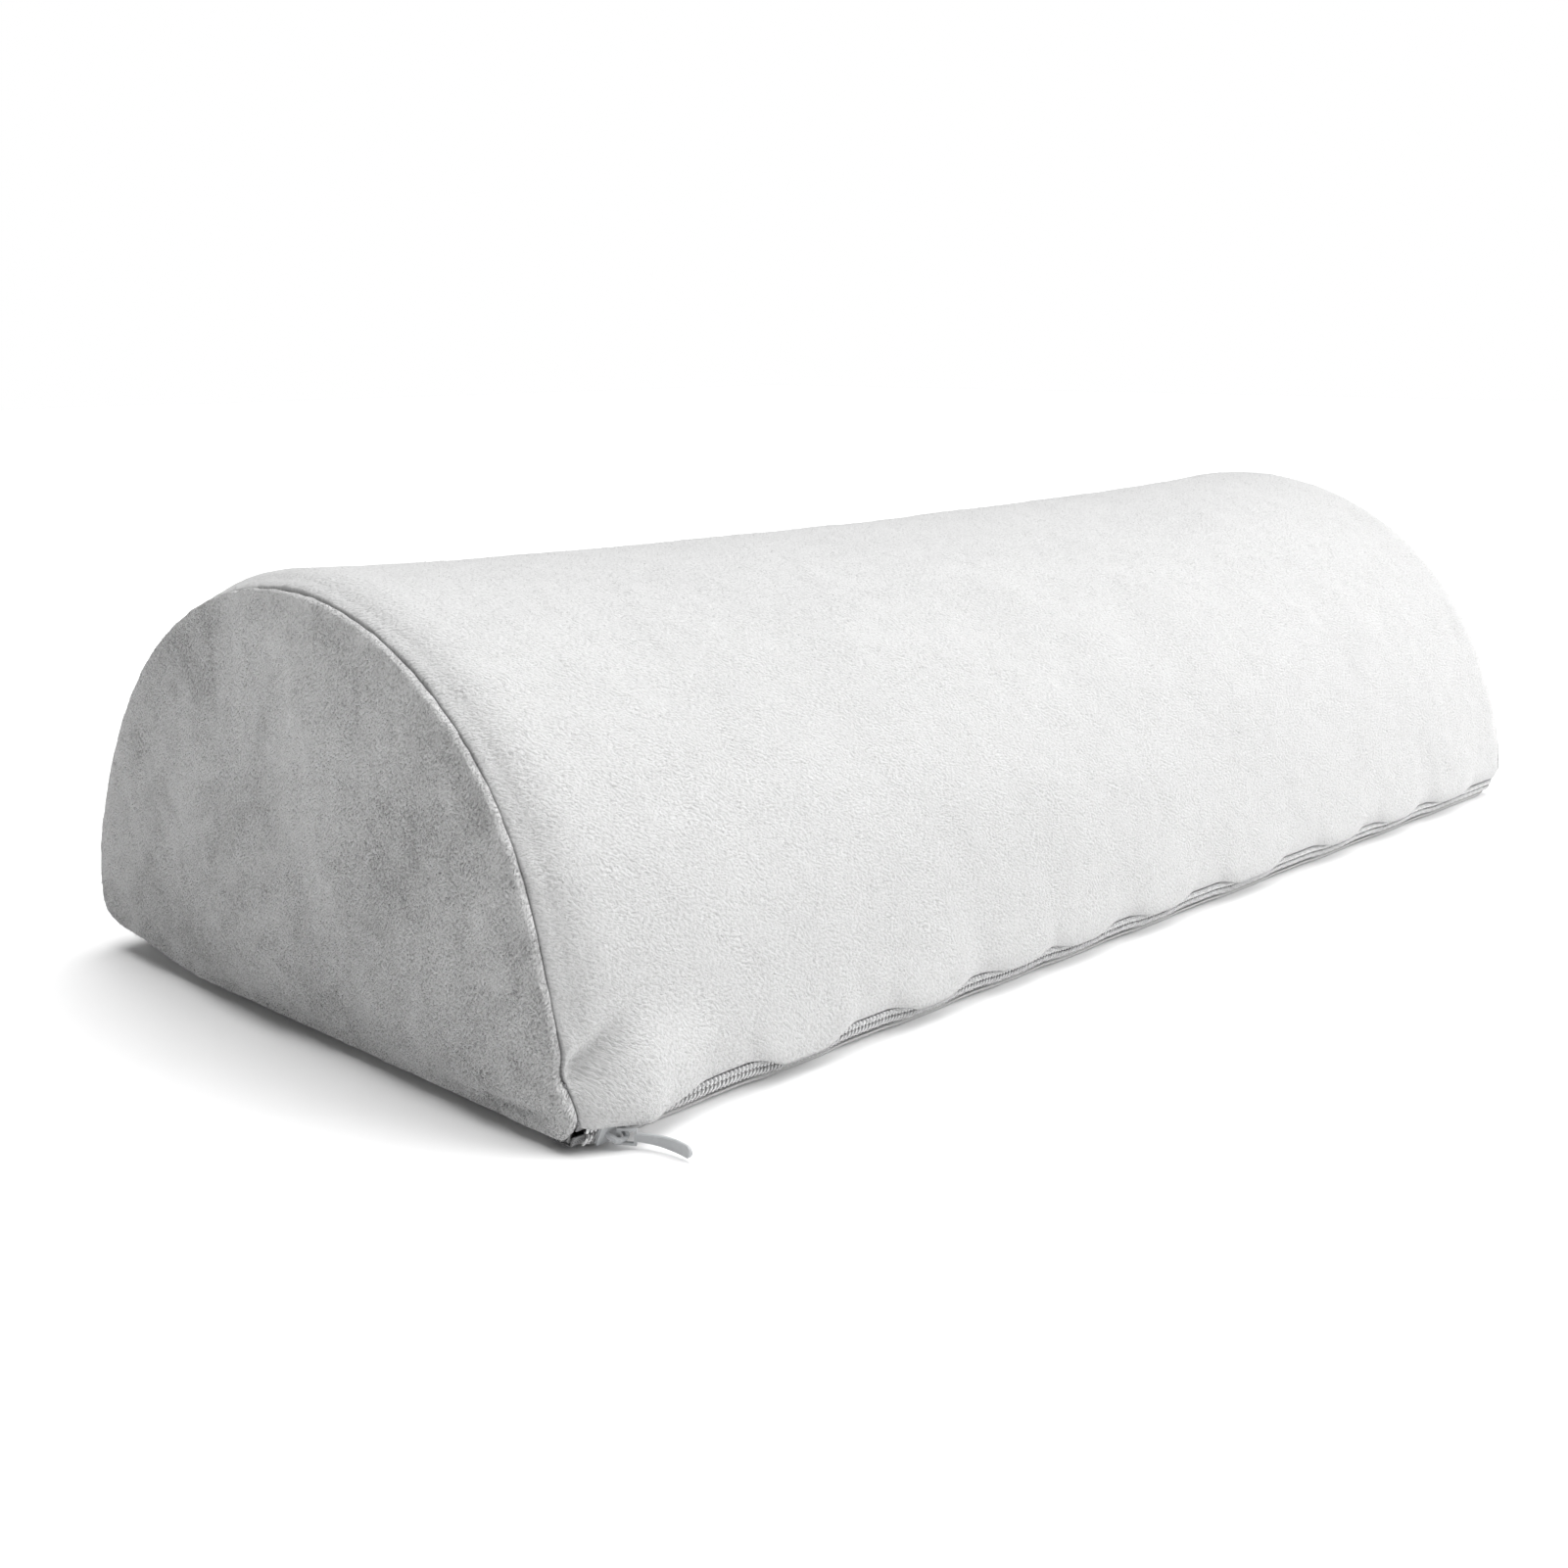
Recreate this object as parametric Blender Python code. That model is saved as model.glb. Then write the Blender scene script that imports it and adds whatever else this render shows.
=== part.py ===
"""Half-moon bolster cushion with a zip-off velour cover.

Frame: X runs along the cushion, -Y is the front with the zip, Z is up. The origin is the middle
of the flat underside. Angles round the section are measured in the YZ plane.
"""
import math

import bmesh
import bpy
from mathutils import Vector

# ---- driving sizes, in metres ------------------------------------------------------------------
LENGTH = 0.430                # over both end panels
WIDTH = 0.204                 # over the widest part of front and back
HEIGHT = 0.109                # underside to crown
GAP = 0.0003                  # air between pieces that touch

CLOTH = 0.0010                # velour thickness
BACK_RADIUS = 0.012           # lower back corner
SHOULDER_DROP = 0.0030        # how far the end seam lies under the crown
SHOULDER_RUN = 0.0080         # how far the shoulder takes to reach full size
SHOULDER_CLEAR = 0.006        # plain height kept above the zip's tapes
SHOULDER_BLEND = 0.024        # height over which the shoulder grows from nothing
EDGE_INNER_RADIUS = 0.0004    # inside of the tightest folds at the ends
SEAM_ALLOWANCE = 0.0080       # cloth turned in behind the end seam
ZIP_ALLOWANCE = 0.0004        # the same beside the zip, where it is trimmed away
ALLOWANCE_BLEND = 0.015       # distance over which the trimming fades out
END_PANEL_STEP = 0.0004       # end panel stands back from the wrap by this much

ZIP_TILT = math.radians(25)   # the zip faces forward and this much down
LIP_FLAT = 0.0015             # flat cloth above the zip
UPPER_FOLD_RADIUS = 0.0060    # from the zip up to the front
LOWER_FOLD_INNER = 0.0010     # inside radius from the zip to the underside

TAPE = 0.0004                 # woven zip tape thickness
TAPE_WIDTH = 0.0100           # of each tape, from its inner edge
TEETH_GAP = 0.0011            # between the coils, where the loops mesh and the post runs
COIL_WIDTH = 0.00145          # of one coil
COIL_HEIGHT = 0.0011          # at the heads
COIL_LEG_HEIGHT = 0.0006      # at the legs, under the stitching
COIL_HEAD_WIDTH = 0.0007      # high part of one coil
STITCH_GAP = 0.0002           # thread above the coil's legs
COIL_THREAD = 0.00012         # thread radii
ZIP_THREAD = 0.00015
SEAM_THREAD = 0.00020
OVERLOCK_RADIUS = 0.0009

SLIDER_LENGTH = 0.0084
SLIDER_PLATE = 0.0008
SLIDER_CLEARANCE = 0.00025    # beside the coils and the post
MOUTH_WALL = 0.00065          # side wall at the end with the post
TAIL_WALL = 0.0004            # side wall at the other end
SLIDER_CORNER = 0.0009
POST_LENGTH = 0.0018
SLIDER_REST = 0.0105          # from the left end to the slider's middle
CROWN_HALF_LENGTH = 0.0026
CROWN_STRAP = 0.0006          # thickness of the crown
CROWN_HALF_WIDTH = 0.0005
CROWN_FOOT = 0.0010           # length of each foot on the plate

HINGE_CLEARANCE = 0.00034     # between the eye and the front plate
PULLER_LEAN = math.radians(3)     # how far down the puller points
PULLER_REST = math.radians(54)    # heading of its neck, from +X towards the front
PULLER_TURN = math.radians(46)    # how much it bows
PULLER_LENGTH = 0.0175
PULLER_THICKNESS = 0.0010
PULLER_NECK_HALF = 0.0010
PULLER_END_HALF = 0.0014
EYE_BAR = 0.0009              # section of the eye's crossbar
EYE_PLAY = 0.0008             # beside the crown
EYE_REACH = 0.00065           # past the crown's foot
EYE_ARM = 0.00055

FOAM_CORNER_DEPTH = 0.016     # lower front corner of the foam, along Y
FOAM_CORNER_HEIGHT = 0.022    # the same, along Z

ARCH_STEPS = 15
SHOULDER_STEPS = 5

# ---- sizes that follow from them ---------------------------------------------------------------
CLOTH_LEVEL = TAPE / 2 + GAP + CLOTH            # cloth's outer face above the tape's middle
COIL_FOOT = TAPE / 2 + GAP                      # underside of the coils
PLATE_INNER = COIL_FOOT + COIL_HEIGHT + GAP     # inside of the slider's front plate
PLATE_OUTER = PLATE_INNER + SLIDER_PLATE
BACK_INNER = -(TAPE / 2 + GAP)
BACK_OUTER = BACK_INNER - SLIDER_PLATE
CHANNEL_HALF = TEETH_GAP / 2 + COIL_WIDTH + SLIDER_CLEARANCE
POST_HALF = TEETH_GAP / 2 - SLIDER_CLEARANCE
SLIDER_MOUTH_HALF = CHANNEL_HALF + MOUTH_WALL
SLIDER_TAIL_HALF = CHANNEL_HALF + TAIL_WALL
LIP_REACH = SLIDER_MOUTH_HALF + GAP             # from the middle of the zip to the cloth's edge
EYE_HALF_WIDTH = CROWN_HALF_WIDTH + EYE_PLAY + EYE_ARM
EYE_LENGTH = CROWN_HALF_LENGTH + EYE_REACH + EYE_ARM
PULLER_ROLL = ZIP_TILT - PULLER_LEAN            # how far the puller's eye leans over on the crown
HINGE_LEVEL = (PLATE_OUTER + EYE_HALF_WIDTH * math.sin(PULLER_ROLL)
               + EYE_BAR / 2 * math.cos(PULLER_ROLL) + HINGE_CLEARANCE)
CROWN_LEVEL = (HINGE_LEVEL + EYE_BAR / 2 / math.cos(PULLER_ROLL)
               + CROWN_HALF_WIDTH * math.tan(PULLER_ROLL) + GAP)
LOWER_FOLD_RADIUS = LOWER_FOLD_INNER + CLOTH
FOLD_RADIUS = CLOTH + GAP / 2                   # end panel's edge, folded back on itself
WRAP_END = 2 * FOLD_RADIUS + GAP                # wrap's turned-in face, from the cushion's end
CORNER_RADIUS = CLOTH + EDGE_INNER_RADIUS       # wrap's corner round the flat underside
FOAM_END = WRAP_END + CLOTH + GAP


def zip_out():
    """Direction that the zip faces, in the section."""
    return Vector((-math.cos(ZIP_TILT), -math.sin(ZIP_TILT)))


def zip_up():
    """Direction across the zip, upwards, in the section."""
    return Vector((-math.sin(ZIP_TILT), math.cos(ZIP_TILT)))


def zip_places():
    """Heights and depths round the zip, built up from the underside."""
    lower_lip_z = LOWER_FOLD_RADIUS * (1 - math.sin(ZIP_TILT))
    flat_end_z = lower_lip_z + (2 * LIP_REACH + LIP_FLAT) * math.cos(ZIP_TILT)
    widest_z = flat_end_z + UPPER_FOLD_RADIUS * math.sin(ZIP_TILT)
    flat_end_y = -WIDTH / 2 + UPPER_FOLD_RADIUS * (1 - math.cos(ZIP_TILT))
    flat_end = Vector((flat_end_y, flat_end_z))
    upper_lip = flat_end - zip_up() * LIP_FLAT
    lower_lip = upper_lip - zip_up() * 2 * LIP_REACH
    centre = upper_lip - zip_up() * LIP_REACH - zip_out() * CLOTH_LEVEL
    return {"upper_lip": upper_lip, "flat_end": flat_end, "lower_lip": lower_lip,
            "centre": centre, "widest_z": widest_z}


class Point:
    """One point of the cushion's section, with the way out and two weights from 0 to 1."""

    def __init__(self, place, out, shoulder=0.0, allowance=0.0):
        self.place = place
        self.out = out
        self.shoulder = shoulder
        self.allowance = allowance

    def drop(self):
        return SHOULDER_DROP * self.shoulder

    def corner(self):
        """Depth and run of the rounded edge towards the end."""
        depth = CORNER_RADIUS + self.drop()
        run = CORNER_RADIUS + (SHOULDER_RUN - CORNER_RADIUS) * self.shoulder
        return depth, run

    def tuck(self):
        """How far in the seam allowance reaches here."""
        least = CORNER_RADIUS + ZIP_ALLOWANCE
        return least + self.drop() + (SEAM_ALLOWANCE - least) * self.allowance

    def at(self, inwards):
        return self.place - self.out * inwards


def smooth(value):
    value = min(max(value, 0.0), 1.0)
    return value * value * (3 - 2 * value)


def shoulder_share(height):
    """No shoulder beside the zip and its tapes, a full one further up."""
    start = zip_places()["centre"].y + TAPE_WIDTH + SHOULDER_CLEAR
    return smooth((height - start) / SHOULDER_BLEND)


def arc(centre, radius, start, end, steps):
    """Points round an arc: angle 0 is the way to the back, 90 degrees is up."""
    points = []
    for step in range(steps + 1):
        angle = start + (end - start) * step / steps
        out = Vector((math.cos(angle), math.sin(angle)))
        points.append(Point(centre + out * radius, out))
    return points


def quarter_ellipse(centre, depth, height, front, steps):
    """From the widest point up to the crown on the front, or down from it on the back."""
    points = []
    for step in range(steps + 1):
        angle = math.pi / 2 * step / steps
        if not front:
            angle = math.pi / 2 - angle
        side = -1 if front else 1
        place = centre + Vector((side * depth * math.cos(angle), height * math.sin(angle)))
        out = Vector((side * math.cos(angle) / depth, math.sin(angle) / height)).normalized()
        points.append(Point(place, out))
    return points


def section():
    """The cover's outer face, from the upper edge of the zip round to the lower edge."""
    zip_at = zip_places()
    widest = zip_at["widest_z"]
    out_angle = math.pi + ZIP_TILT
    points = [Point(zip_at["upper_lip"], zip_out())]
    upper_centre = Vector((-WIDTH / 2 + UPPER_FOLD_RADIUS, widest))
    points += arc(upper_centre, UPPER_FOLD_RADIUS, out_angle, math.pi, 2)
    front_centre = Vector((0, widest))
    points += quarter_ellipse(front_centre, WIDTH / 2, HEIGHT - widest, True, ARCH_STEPS)[1:]
    back_centre = Vector((0, BACK_RADIUS))
    points += quarter_ellipse(back_centre, WIDTH / 2, HEIGHT - BACK_RADIUS, False, ARCH_STEPS)[1:]
    heel_centre = Vector((WIDTH / 2 - BACK_RADIUS, BACK_RADIUS))
    points += arc(heel_centre, BACK_RADIUS, 0, -math.pi / 2, 5)[1:]
    fold_centre = zip_at["lower_lip"] - zip_out() * LOWER_FOLD_RADIUS
    down = Vector((0, -1))
    for share in (0.5, 1.0):
        reach = ALLOWANCE_BLEND * share
        points.append(Point(Vector((fold_centre.x + ALLOWANCE_BLEND * 1.5 - reach, 0)), down))
    points += arc(fold_centre, LOWER_FOLD_RADIUS, 3 * math.pi / 2, out_angle, 4)
    for point in points:
        point.shoulder = shoulder_share(point.place.y)
        lip = zip_at["upper_lip"] if point.place.y > zip_at["centre"].y else zip_at["lower_lip"]
        away = (point.place - lip).length - UPPER_FOLD_RADIUS
        point.allowance = smooth(away / ALLOWANCE_BLEND)
    return points


def foam_section():
    """The foam's outer face: the cover's, less the cloth, with a big round lower front corner."""
    inset = CLOTH + GAP
    cover = section()
    widest = zip_places()["widest_z"]
    top = inset + FOAM_CORNER_HEIGHT
    points = []
    for point in cover:
        place = point.at(inset)
        if point.place.y > widest and point.out.x < 0 and place.y < top:
            continue
        if point.place.y <= widest and point.place.x < 0:
            continue
        points.append(Point(place, point.out, point.shoulder))
    first = points[0].place
    centre = Vector((first.x + FOAM_CORNER_DEPTH, first.y))
    steps = 6
    for step in range(steps):
        angle = math.pi / 2 * (steps - step) / steps
        cosine = math.cos(angle)
        sine = math.sin(angle)
        depth = FOAM_CORNER_DEPTH
        height = first.y - inset
        place = centre - Vector((depth * cosine, height * sine))
        out = Vector((-cosine / depth, -sine / height)).normalized()
        points.append(Point(place, out, shoulder_share(place.y)))
    return points


# ---- building tools ----------------------------------------------------------------------------
def start_scene():
    for item in list(bpy.data.objects):
        bpy.data.objects.remove(item)
    collections = {}
    for name in ("half_moon_bolster", "cutters"):
        collections[name] = bpy.data.collections.new(name)
        bpy.context.scene.collection.children.link(collections[name])
    return collections["half_moon_bolster"], collections["cutters"]


def material(name, colour, roughness, metallic=0.0):
    made = bpy.data.materials.new(name)
    made.use_nodes = True
    shader = made.node_tree.nodes["Principled BSDF"]
    shader.inputs["Base Color"].default_value = (*colour, 1.0)
    shader.inputs["Roughness"].default_value = roughness
    shader.inputs["Metallic"].default_value = metallic
    return made


def add_object(name, data, collection, finish=None):
    item = bpy.data.objects.new(name, data)
    collection.objects.link(item)
    if finish is not None:
        data.materials.append(finish)
    return item


def shade(mesh):
    mesh.shade_smooth()
    mesh.set_sharp_from_angle(angle=math.radians(35))


def loft(name, rings, collection, finish, ring_closed, caps):
    """Skins a row of rings that have the same number of points.

    With ring_closed each ring is a loop and caps close the first and last. Without it the rings
    are closed sections swept along an open path, which is the same thing turned round.
    """
    mesh = bpy.data.meshes.new(name)
    work = bmesh.new()
    made = [[work.verts.new(place) for place in ring] for ring in rings]
    count = len(made[0])
    for row in range(len(made) - 1):
        for column in range(count if ring_closed else count - 1):
            after = (column + 1) % count
            corners = (made[row][column], made[row][after], made[row + 1][after],
                       made[row + 1][column])
            work.faces.new(corners)
    if caps:
        work.faces.new(list(reversed(made[0])))
        work.faces.new(made[-1])
    bmesh.ops.recalc_face_normals(work, faces=work.faces)
    bmesh.ops.triangulate(work, faces=[face for face in work.faces if len(face.verts) > 4])
    work.to_mesh(mesh)
    work.free()
    shade(mesh)
    return add_object(name, mesh, collection, finish)


def space(along, place):
    """A point of the section, placed along the cushion."""
    return Vector((along, place.x, place.y))


def edge_profile(point, offset, steps):
    """The rounded edge towards the end: pairs of depth and distance from the wrap's end face."""
    depth, run = point.corner()
    pairs = []
    for step in range(steps + 1):
        angle = math.pi / 2 * step / steps
        across = math.sin(angle) / depth
        along = math.cos(angle) / run
        size = math.hypot(across, along)
        inwards = depth * (1 - math.sin(angle)) + offset * across / size
        distance = run * (1 - math.cos(angle)) + offset * along / size
        pairs.append((inwards, distance))
    return pairs


def tube(name, points, radius, collection, finish, closed=False):
    """A round thread along a row of points."""
    curve = bpy.data.curves.new(name, "CURVE")
    curve.dimensions = "3D"
    curve.bevel_depth = radius
    curve.bevel_resolution = 2
    curve.use_fill_caps = not closed
    spline = curve.splines.new("POLY")
    spline.points.add(len(points) - 1)
    for spot, place in zip(spline.points, points):
        spot.co = (*place, 1.0)
    spline.use_cyclic_u = closed
    return add_object(name, curve, collection, finish)


def long_strip(name, outline, end_gap, collection, finish):
    """A flat outline in the section, drawn out along the cushion between its ends."""
    curve = bpy.data.curves.new(name, "CURVE")
    curve.dimensions = "2D"
    curve.fill_mode = "BOTH"
    curve.extrude = LENGTH / 2 - end_gap
    spline = curve.splines.new("POLY")
    spline.points.add(len(outline) - 1)
    for spot, place in zip(spline.points, outline):
        spot.co = (place.x, place.y, 0.0, 1.0)
    spline.use_cyclic_u = True
    item = add_object(name, curve, collection, finish)
    item.rotation_euler = (math.pi / 2, 0, math.pi / 2)
    return item


# ---- cover and foam ----------------------------------------------------------------------------
def build_wrap(collection, finish):
    """One cloth round front, arch, back and underside, its ends turned in behind the panels."""
    rings = []
    for point in section():
        outer = edge_profile(point, 0.0, SHOULDER_STEPS)
        inner = edge_profile(point, CLOTH, SHOULDER_STEPS)
        half = [(point.tuck(), 0.0)] + outer
        back = [(point.tuck(), CLOTH)] + inner
        ring = []
        for inwards, distance in half:
            ring.append(space(-LENGTH / 2 + WRAP_END + distance, point.at(inwards)))
        for inwards, distance in reversed(half):
            ring.append(space(LENGTH / 2 - WRAP_END - distance, point.at(inwards)))
        for inwards, distance in back:
            ring.append(space(LENGTH / 2 - WRAP_END - distance, point.at(inwards)))
        for inwards, distance in reversed(back):
            ring.append(space(-LENGTH / 2 + WRAP_END + distance, point.at(inwards)))
        rings.append(ring)
    return loft("wrap_panel", rings, collection, finish, True, True)


def build_end_panel(name, side, collection, finish):
    """A flat half-moon cloth whose edge is folded back on itself."""
    profile = []
    inner_radius = GAP / 2
    for step in range(5):
        angle = math.pi * step / 4
        profile.append((FOLD_RADIUS - FOLD_RADIUS * math.sin(angle),
                        FOLD_RADIUS - FOLD_RADIUS * math.cos(angle)))
    profile.append((None, 2 * FOLD_RADIUS))
    profile.append((None, 2 * FOLD_RADIUS - CLOTH))
    for step in range(3):
        angle = math.pi - math.pi * step / 2
        profile.append((FOLD_RADIUS - inner_radius * math.sin(angle),
                        FOLD_RADIUS - inner_radius * math.cos(angle)))
    rings = []
    for inwards, distance in profile:
        ring = []
        for point in section():
            step = point.drop() + END_PANEL_STEP
            depth = point.tuck() + END_PANEL_STEP if inwards is None else step + inwards
            ring.append(space(side * (LENGTH / 2 - distance), point.at(depth)))
        rings.append(ring)
    return loft(name, rings, collection, finish, True, True)


def build_foam(collection, finish):
    """The foam block, its ends rounded to lie under the shoulders."""
    points = foam_section()
    rings = []
    inset = CLOTH + GAP
    for side in (-1, 1):
        steps = range(SHOULDER_STEPS + 1)
        for step in steps if side < 0 else reversed(steps):
            ring = []
            for point in points:
                inwards, distance = edge_profile(point, inset, SHOULDER_STEPS)[step]
                along = side * (LENGTH / 2 - WRAP_END - distance)
                ring.append(space(along, point.at(inwards - inset)))
            rings.append(ring)
    return loft("foam_core", rings, collection, finish, True, True)


def build_seam_thread(name, side, collection, finish):
    """Stitch line in the groove between the end panel's fold and the wrap."""
    reach = FOLD_RADIUS + SEAM_THREAD + GAP
    rise = math.sqrt(reach ** 2 - FOLD_RADIUS ** 2)
    points = []
    for point in section():
        depth = point.drop() + END_PANEL_STEP + FOLD_RADIUS - rise
        points.append(space(side * (LENGTH / 2 - 2 * FOLD_RADIUS), point.at(depth)))
    return tube(name, points, SEAM_THREAD, collection, finish, closed=True)


def build_overlock(name, side, collection, finish):
    """Thread that binds the two cut edges behind the end seam, stopping short of the zip."""
    middle = (2 * FOLD_RADIUS - CLOTH + WRAP_END + CLOTH) / 2
    points = []
    for point in section():
        if point.allowance < 1.0:
            continue
        depth = point.tuck() + END_PANEL_STEP + GAP + OVERLOCK_RADIUS
        points.append(space(side * (LENGTH / 2 - middle), point.at(depth)))
    return tube(name, points, OVERLOCK_RADIUS, collection, finish)


# ---- zip ---------------------------------------------------------------------------------------
def tape_path(upper):
    """Middle of a tape: past the coil, then along the inside of the cover."""
    centre = zip_places()["centre"]
    points = section()
    if not upper:
        points.reverse()
    side = 1 if upper else -1
    path = [Point(centre + zip_up() * side * TEETH_GAP / 2, zip_out())]
    for point in points:
        path.append(Point(point.at(CLOTH_LEVEL), point.out))
    kept = [path[0]]
    left = TAPE_WIDTH
    for before, after in zip(path, path[1:]):
        stretch = (after.place - before.place).length
        if stretch >= left:
            share = left / stretch
            place = before.place.lerp(after.place, share)
            kept.append(Point(place, before.out.lerp(after.out, share).normalized()))
            break
        kept.append(after)
        left -= stretch
    return kept


def build_tape(name, upper, collection, finish):
    path = tape_path(upper)
    outer = [point.at(-TAPE / 2) for point in path]
    inner = [point.at(TAPE / 2) for point in path]
    outline = outer + list(reversed(inner))
    return long_strip(name, outline, FOAM_END, collection, finish)


def build_coil(name, side, collection, finish):
    """Space that one coil fills outside the meshing loops: high heads and low legs."""
    centre = zip_places()["centre"]
    near = TEETH_GAP / 2
    shape = ((near, 0), (near + COIL_WIDTH, 0), (near + COIL_WIDTH, COIL_LEG_HEIGHT),
             (near + COIL_HEAD_WIDTH, COIL_LEG_HEIGHT), (near + COIL_HEAD_WIDTH, COIL_HEIGHT),
             (near, COIL_HEIGHT))
    outline = []
    for across, out in shape:
        place = centre + zip_up() * side * across + zip_out() * (COIL_FOOT + out)
        outline.append(place)
    return long_strip(name, outline, FOAM_END, collection, finish)


def straight_thread(name, place, radius, collection, finish):
    reach = LENGTH / 2 - FOAM_END
    ends = [space(-reach, place), space(reach, place)]
    return tube(name, ends, radius, collection, finish)


def build_coil_stitching(name, side, collection, finish):
    """Thread over the legs of one coil."""
    across = TEETH_GAP / 2 + (COIL_HEAD_WIDTH + COIL_WIDTH) / 2
    out = COIL_FOOT + COIL_LEG_HEIGHT + STITCH_GAP + COIL_THREAD
    place = zip_places()["centre"] + zip_up() * side * across + zip_out() * out
    return straight_thread(name, place, COIL_THREAD, collection, finish)


def build_zip_seam_thread(name, upper, collection, finish):
    """Thread on the inside of a tape that holds it to the cover."""
    behind = TAPE / 2 + GAP + ZIP_THREAD
    if upper:
        across = LIP_REACH + LIP_FLAT / 2
        place = zip_places()["centre"] + zip_up() * across - zip_out() * behind
    else:
        end = tape_path(False)[-1]
        place = end.at(behind) - Vector((TAPE_WIDTH / 4, 0))
    return straight_thread(name, place, ZIP_THREAD, collection, finish)


# ---- slider and puller -------------------------------------------------------------------------
def slider_frame(collection):
    """Empty in the middle of the slider: -Y faces out of the zip and Z runs across it."""
    frame = add_object("slider_frame", None, collection)
    centre = zip_places()["centre"]
    frame.location = space(-LENGTH / 2 + SLIDER_REST, centre)
    frame.rotation_euler = (ZIP_TILT, 0, 0)
    return frame


def hinge_frame(collection):
    """Empty on the puller's axis: Z is the axis and X is the puller's heading at rest."""
    frame = add_object("hinge_frame", None, collection)
    place = zip_places()["centre"] + zip_out() * HINGE_LEVEL
    frame.location = space(-LENGTH / 2 + SLIDER_REST, place)
    frame.rotation_euler = (PULLER_LEAN, 0, 0)
    return frame


def box(name, low, high, collection, finish=None):
    """A block between two corners, with its size in the mesh."""
    work = bmesh.new()
    bmesh.ops.create_cube(work, size=1.0)
    middle = (Vector(low) + Vector(high)) / 2
    size = Vector(high) - Vector(low)
    for vert in work.verts:
        vert.co = Vector((vert.co.x * size.x, vert.co.y * size.y, vert.co.z * size.z)) + middle
    mesh = bpy.data.meshes.new(name)
    work.to_mesh(mesh)
    work.free()
    return add_object(name, mesh, collection, finish)


def rounded_corners(corners, radius, steps=4):
    """A closed outline with each corner rounded by an arc-like curve."""
    outline = []
    count = len(corners)
    for index, corner in enumerate(corners):
        before = (corners[index - 1] - corner).normalized() * radius
        after = (corners[(index + 1) % count] - corner).normalized() * radius
        for step in range(steps + 1):
            share = step / steps
            start = corner + before * (1 - share) ** 2
            outline.append(start + after * share ** 2)
    return outline


def plate(name, outline, low, high, collection, finish=None):
    """A flat outline in X and Z, from low to high along Y."""
    work = bmesh.new()
    verts = [work.verts.new((place.x, low, place.y)) for place in outline]
    face = work.faces.new(verts)
    grown = bmesh.ops.extrude_face_region(work, geom=[face])
    moved = [item for item in grown["geom"] if isinstance(item, bmesh.types.BMVert)]
    bmesh.ops.translate(work, verts=moved, vec=(0, high - low, 0))
    bmesh.ops.recalc_face_normals(work, faces=work.faces)
    mesh = bpy.data.meshes.new(name)
    work.to_mesh(mesh)
    work.free()
    return add_object(name, mesh, collection, finish)


def boolean(target, cutter, operation, frame=None):
    """Joins or cuts with a guide shape that stays out of the build."""
    cutter.hide_render = True
    cutter.display_type = "WIRE"
    if frame is not None:
        cutter.parent = frame
    change = target.modifiers.new(cutter.name, "BOOLEAN")
    change.object = cutter
    change.operation = operation
    change.solver = "EXACT"


def slider_outline(grow=0.0):
    half = SLIDER_LENGTH / 2
    mouth = SLIDER_MOUTH_HALF + grow
    tail = SLIDER_TAIL_HALF + grow
    corners = [Vector((-half, -mouth)), Vector((half, -tail)), Vector((half, tail)),
               Vector((-half, mouth))]
    return rounded_corners(corners, SLIDER_CORNER)


def build_slider(frame, parts, cutters, finish):
    """Two plates with side walls, a post at the mouth and a crown over the front plate."""
    body = plate("slider_body", slider_outline(), -PLATE_OUTER, -BACK_OUTER, parts, finish)
    body.parent = frame
    reach = SLIDER_LENGTH
    passage = box("coil_passage", (-reach, -PLATE_INNER, -CHANNEL_HALF),
                  (reach, -BACK_INNER, CHANNEL_HALF), cutters)
    slot = box("tape_slot", (-reach, BACK_INNER, -reach), (reach, -BACK_INNER, reach), cutters)
    half = SLIDER_LENGTH / 2
    post_low = (-half + SLIDER_PLATE / 2, -PLATE_INNER - SLIDER_PLATE / 2, -POST_HALF)
    post_high = (-half + SLIDER_PLATE / 2 + POST_LENGTH, -BACK_INNER + SLIDER_PLATE / 2, POST_HALF)
    post = box("slider_post", post_low, post_high, cutters)
    crown = build_crown(cutters)
    boolean(body, passage, "DIFFERENCE", frame)
    boolean(body, slot, "DIFFERENCE", frame)
    boolean(body, post, "UNION", frame)
    boolean(body, crown, "UNION", frame)
    return body


def build_crown(cutters):
    """An arched strap with a foot at each end, sunk a little into the plate that it joins."""
    inner_top = CROWN_LEVEL
    outer_top = CROWN_LEVEL + CROWN_STRAP
    root = PLATE_OUTER - SLIDER_PLATE / 2
    inner_half = CROWN_HALF_LENGTH - CROWN_FOOT
    outline = []
    steps = 8
    for step in range(steps + 1):
        angle = math.pi * step / steps
        height = root + (outer_top - root) * min(1.0, 1.25 * math.sin(angle))
        outline.append(Vector((-CROWN_HALF_LENGTH * math.cos(angle), height)))
    for step in range(steps + 1):
        angle = math.pi - math.pi * step / steps
        height = root + (inner_top - root) * min(1.0, 1.25 * math.sin(angle))
        outline.append(Vector((-inner_half * math.cos(angle), height)))
    work = bmesh.new()
    verts = [work.verts.new((place.x, -place.y, -CROWN_HALF_WIDTH)) for place in outline]
    face = work.faces.new(verts)
    grown = bmesh.ops.extrude_face_region(work, geom=[face])
    moved = [item for item in grown["geom"] if isinstance(item, bmesh.types.BMVert)]
    bmesh.ops.translate(work, verts=moved, vec=(0, 0, 2 * CROWN_HALF_WIDTH))
    bmesh.ops.recalc_face_normals(work, faces=work.faces)
    mesh = bpy.data.meshes.new("slider_crown")
    work.to_mesh(mesh)
    work.free()
    return add_object("slider_crown", mesh, cutters)


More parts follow.
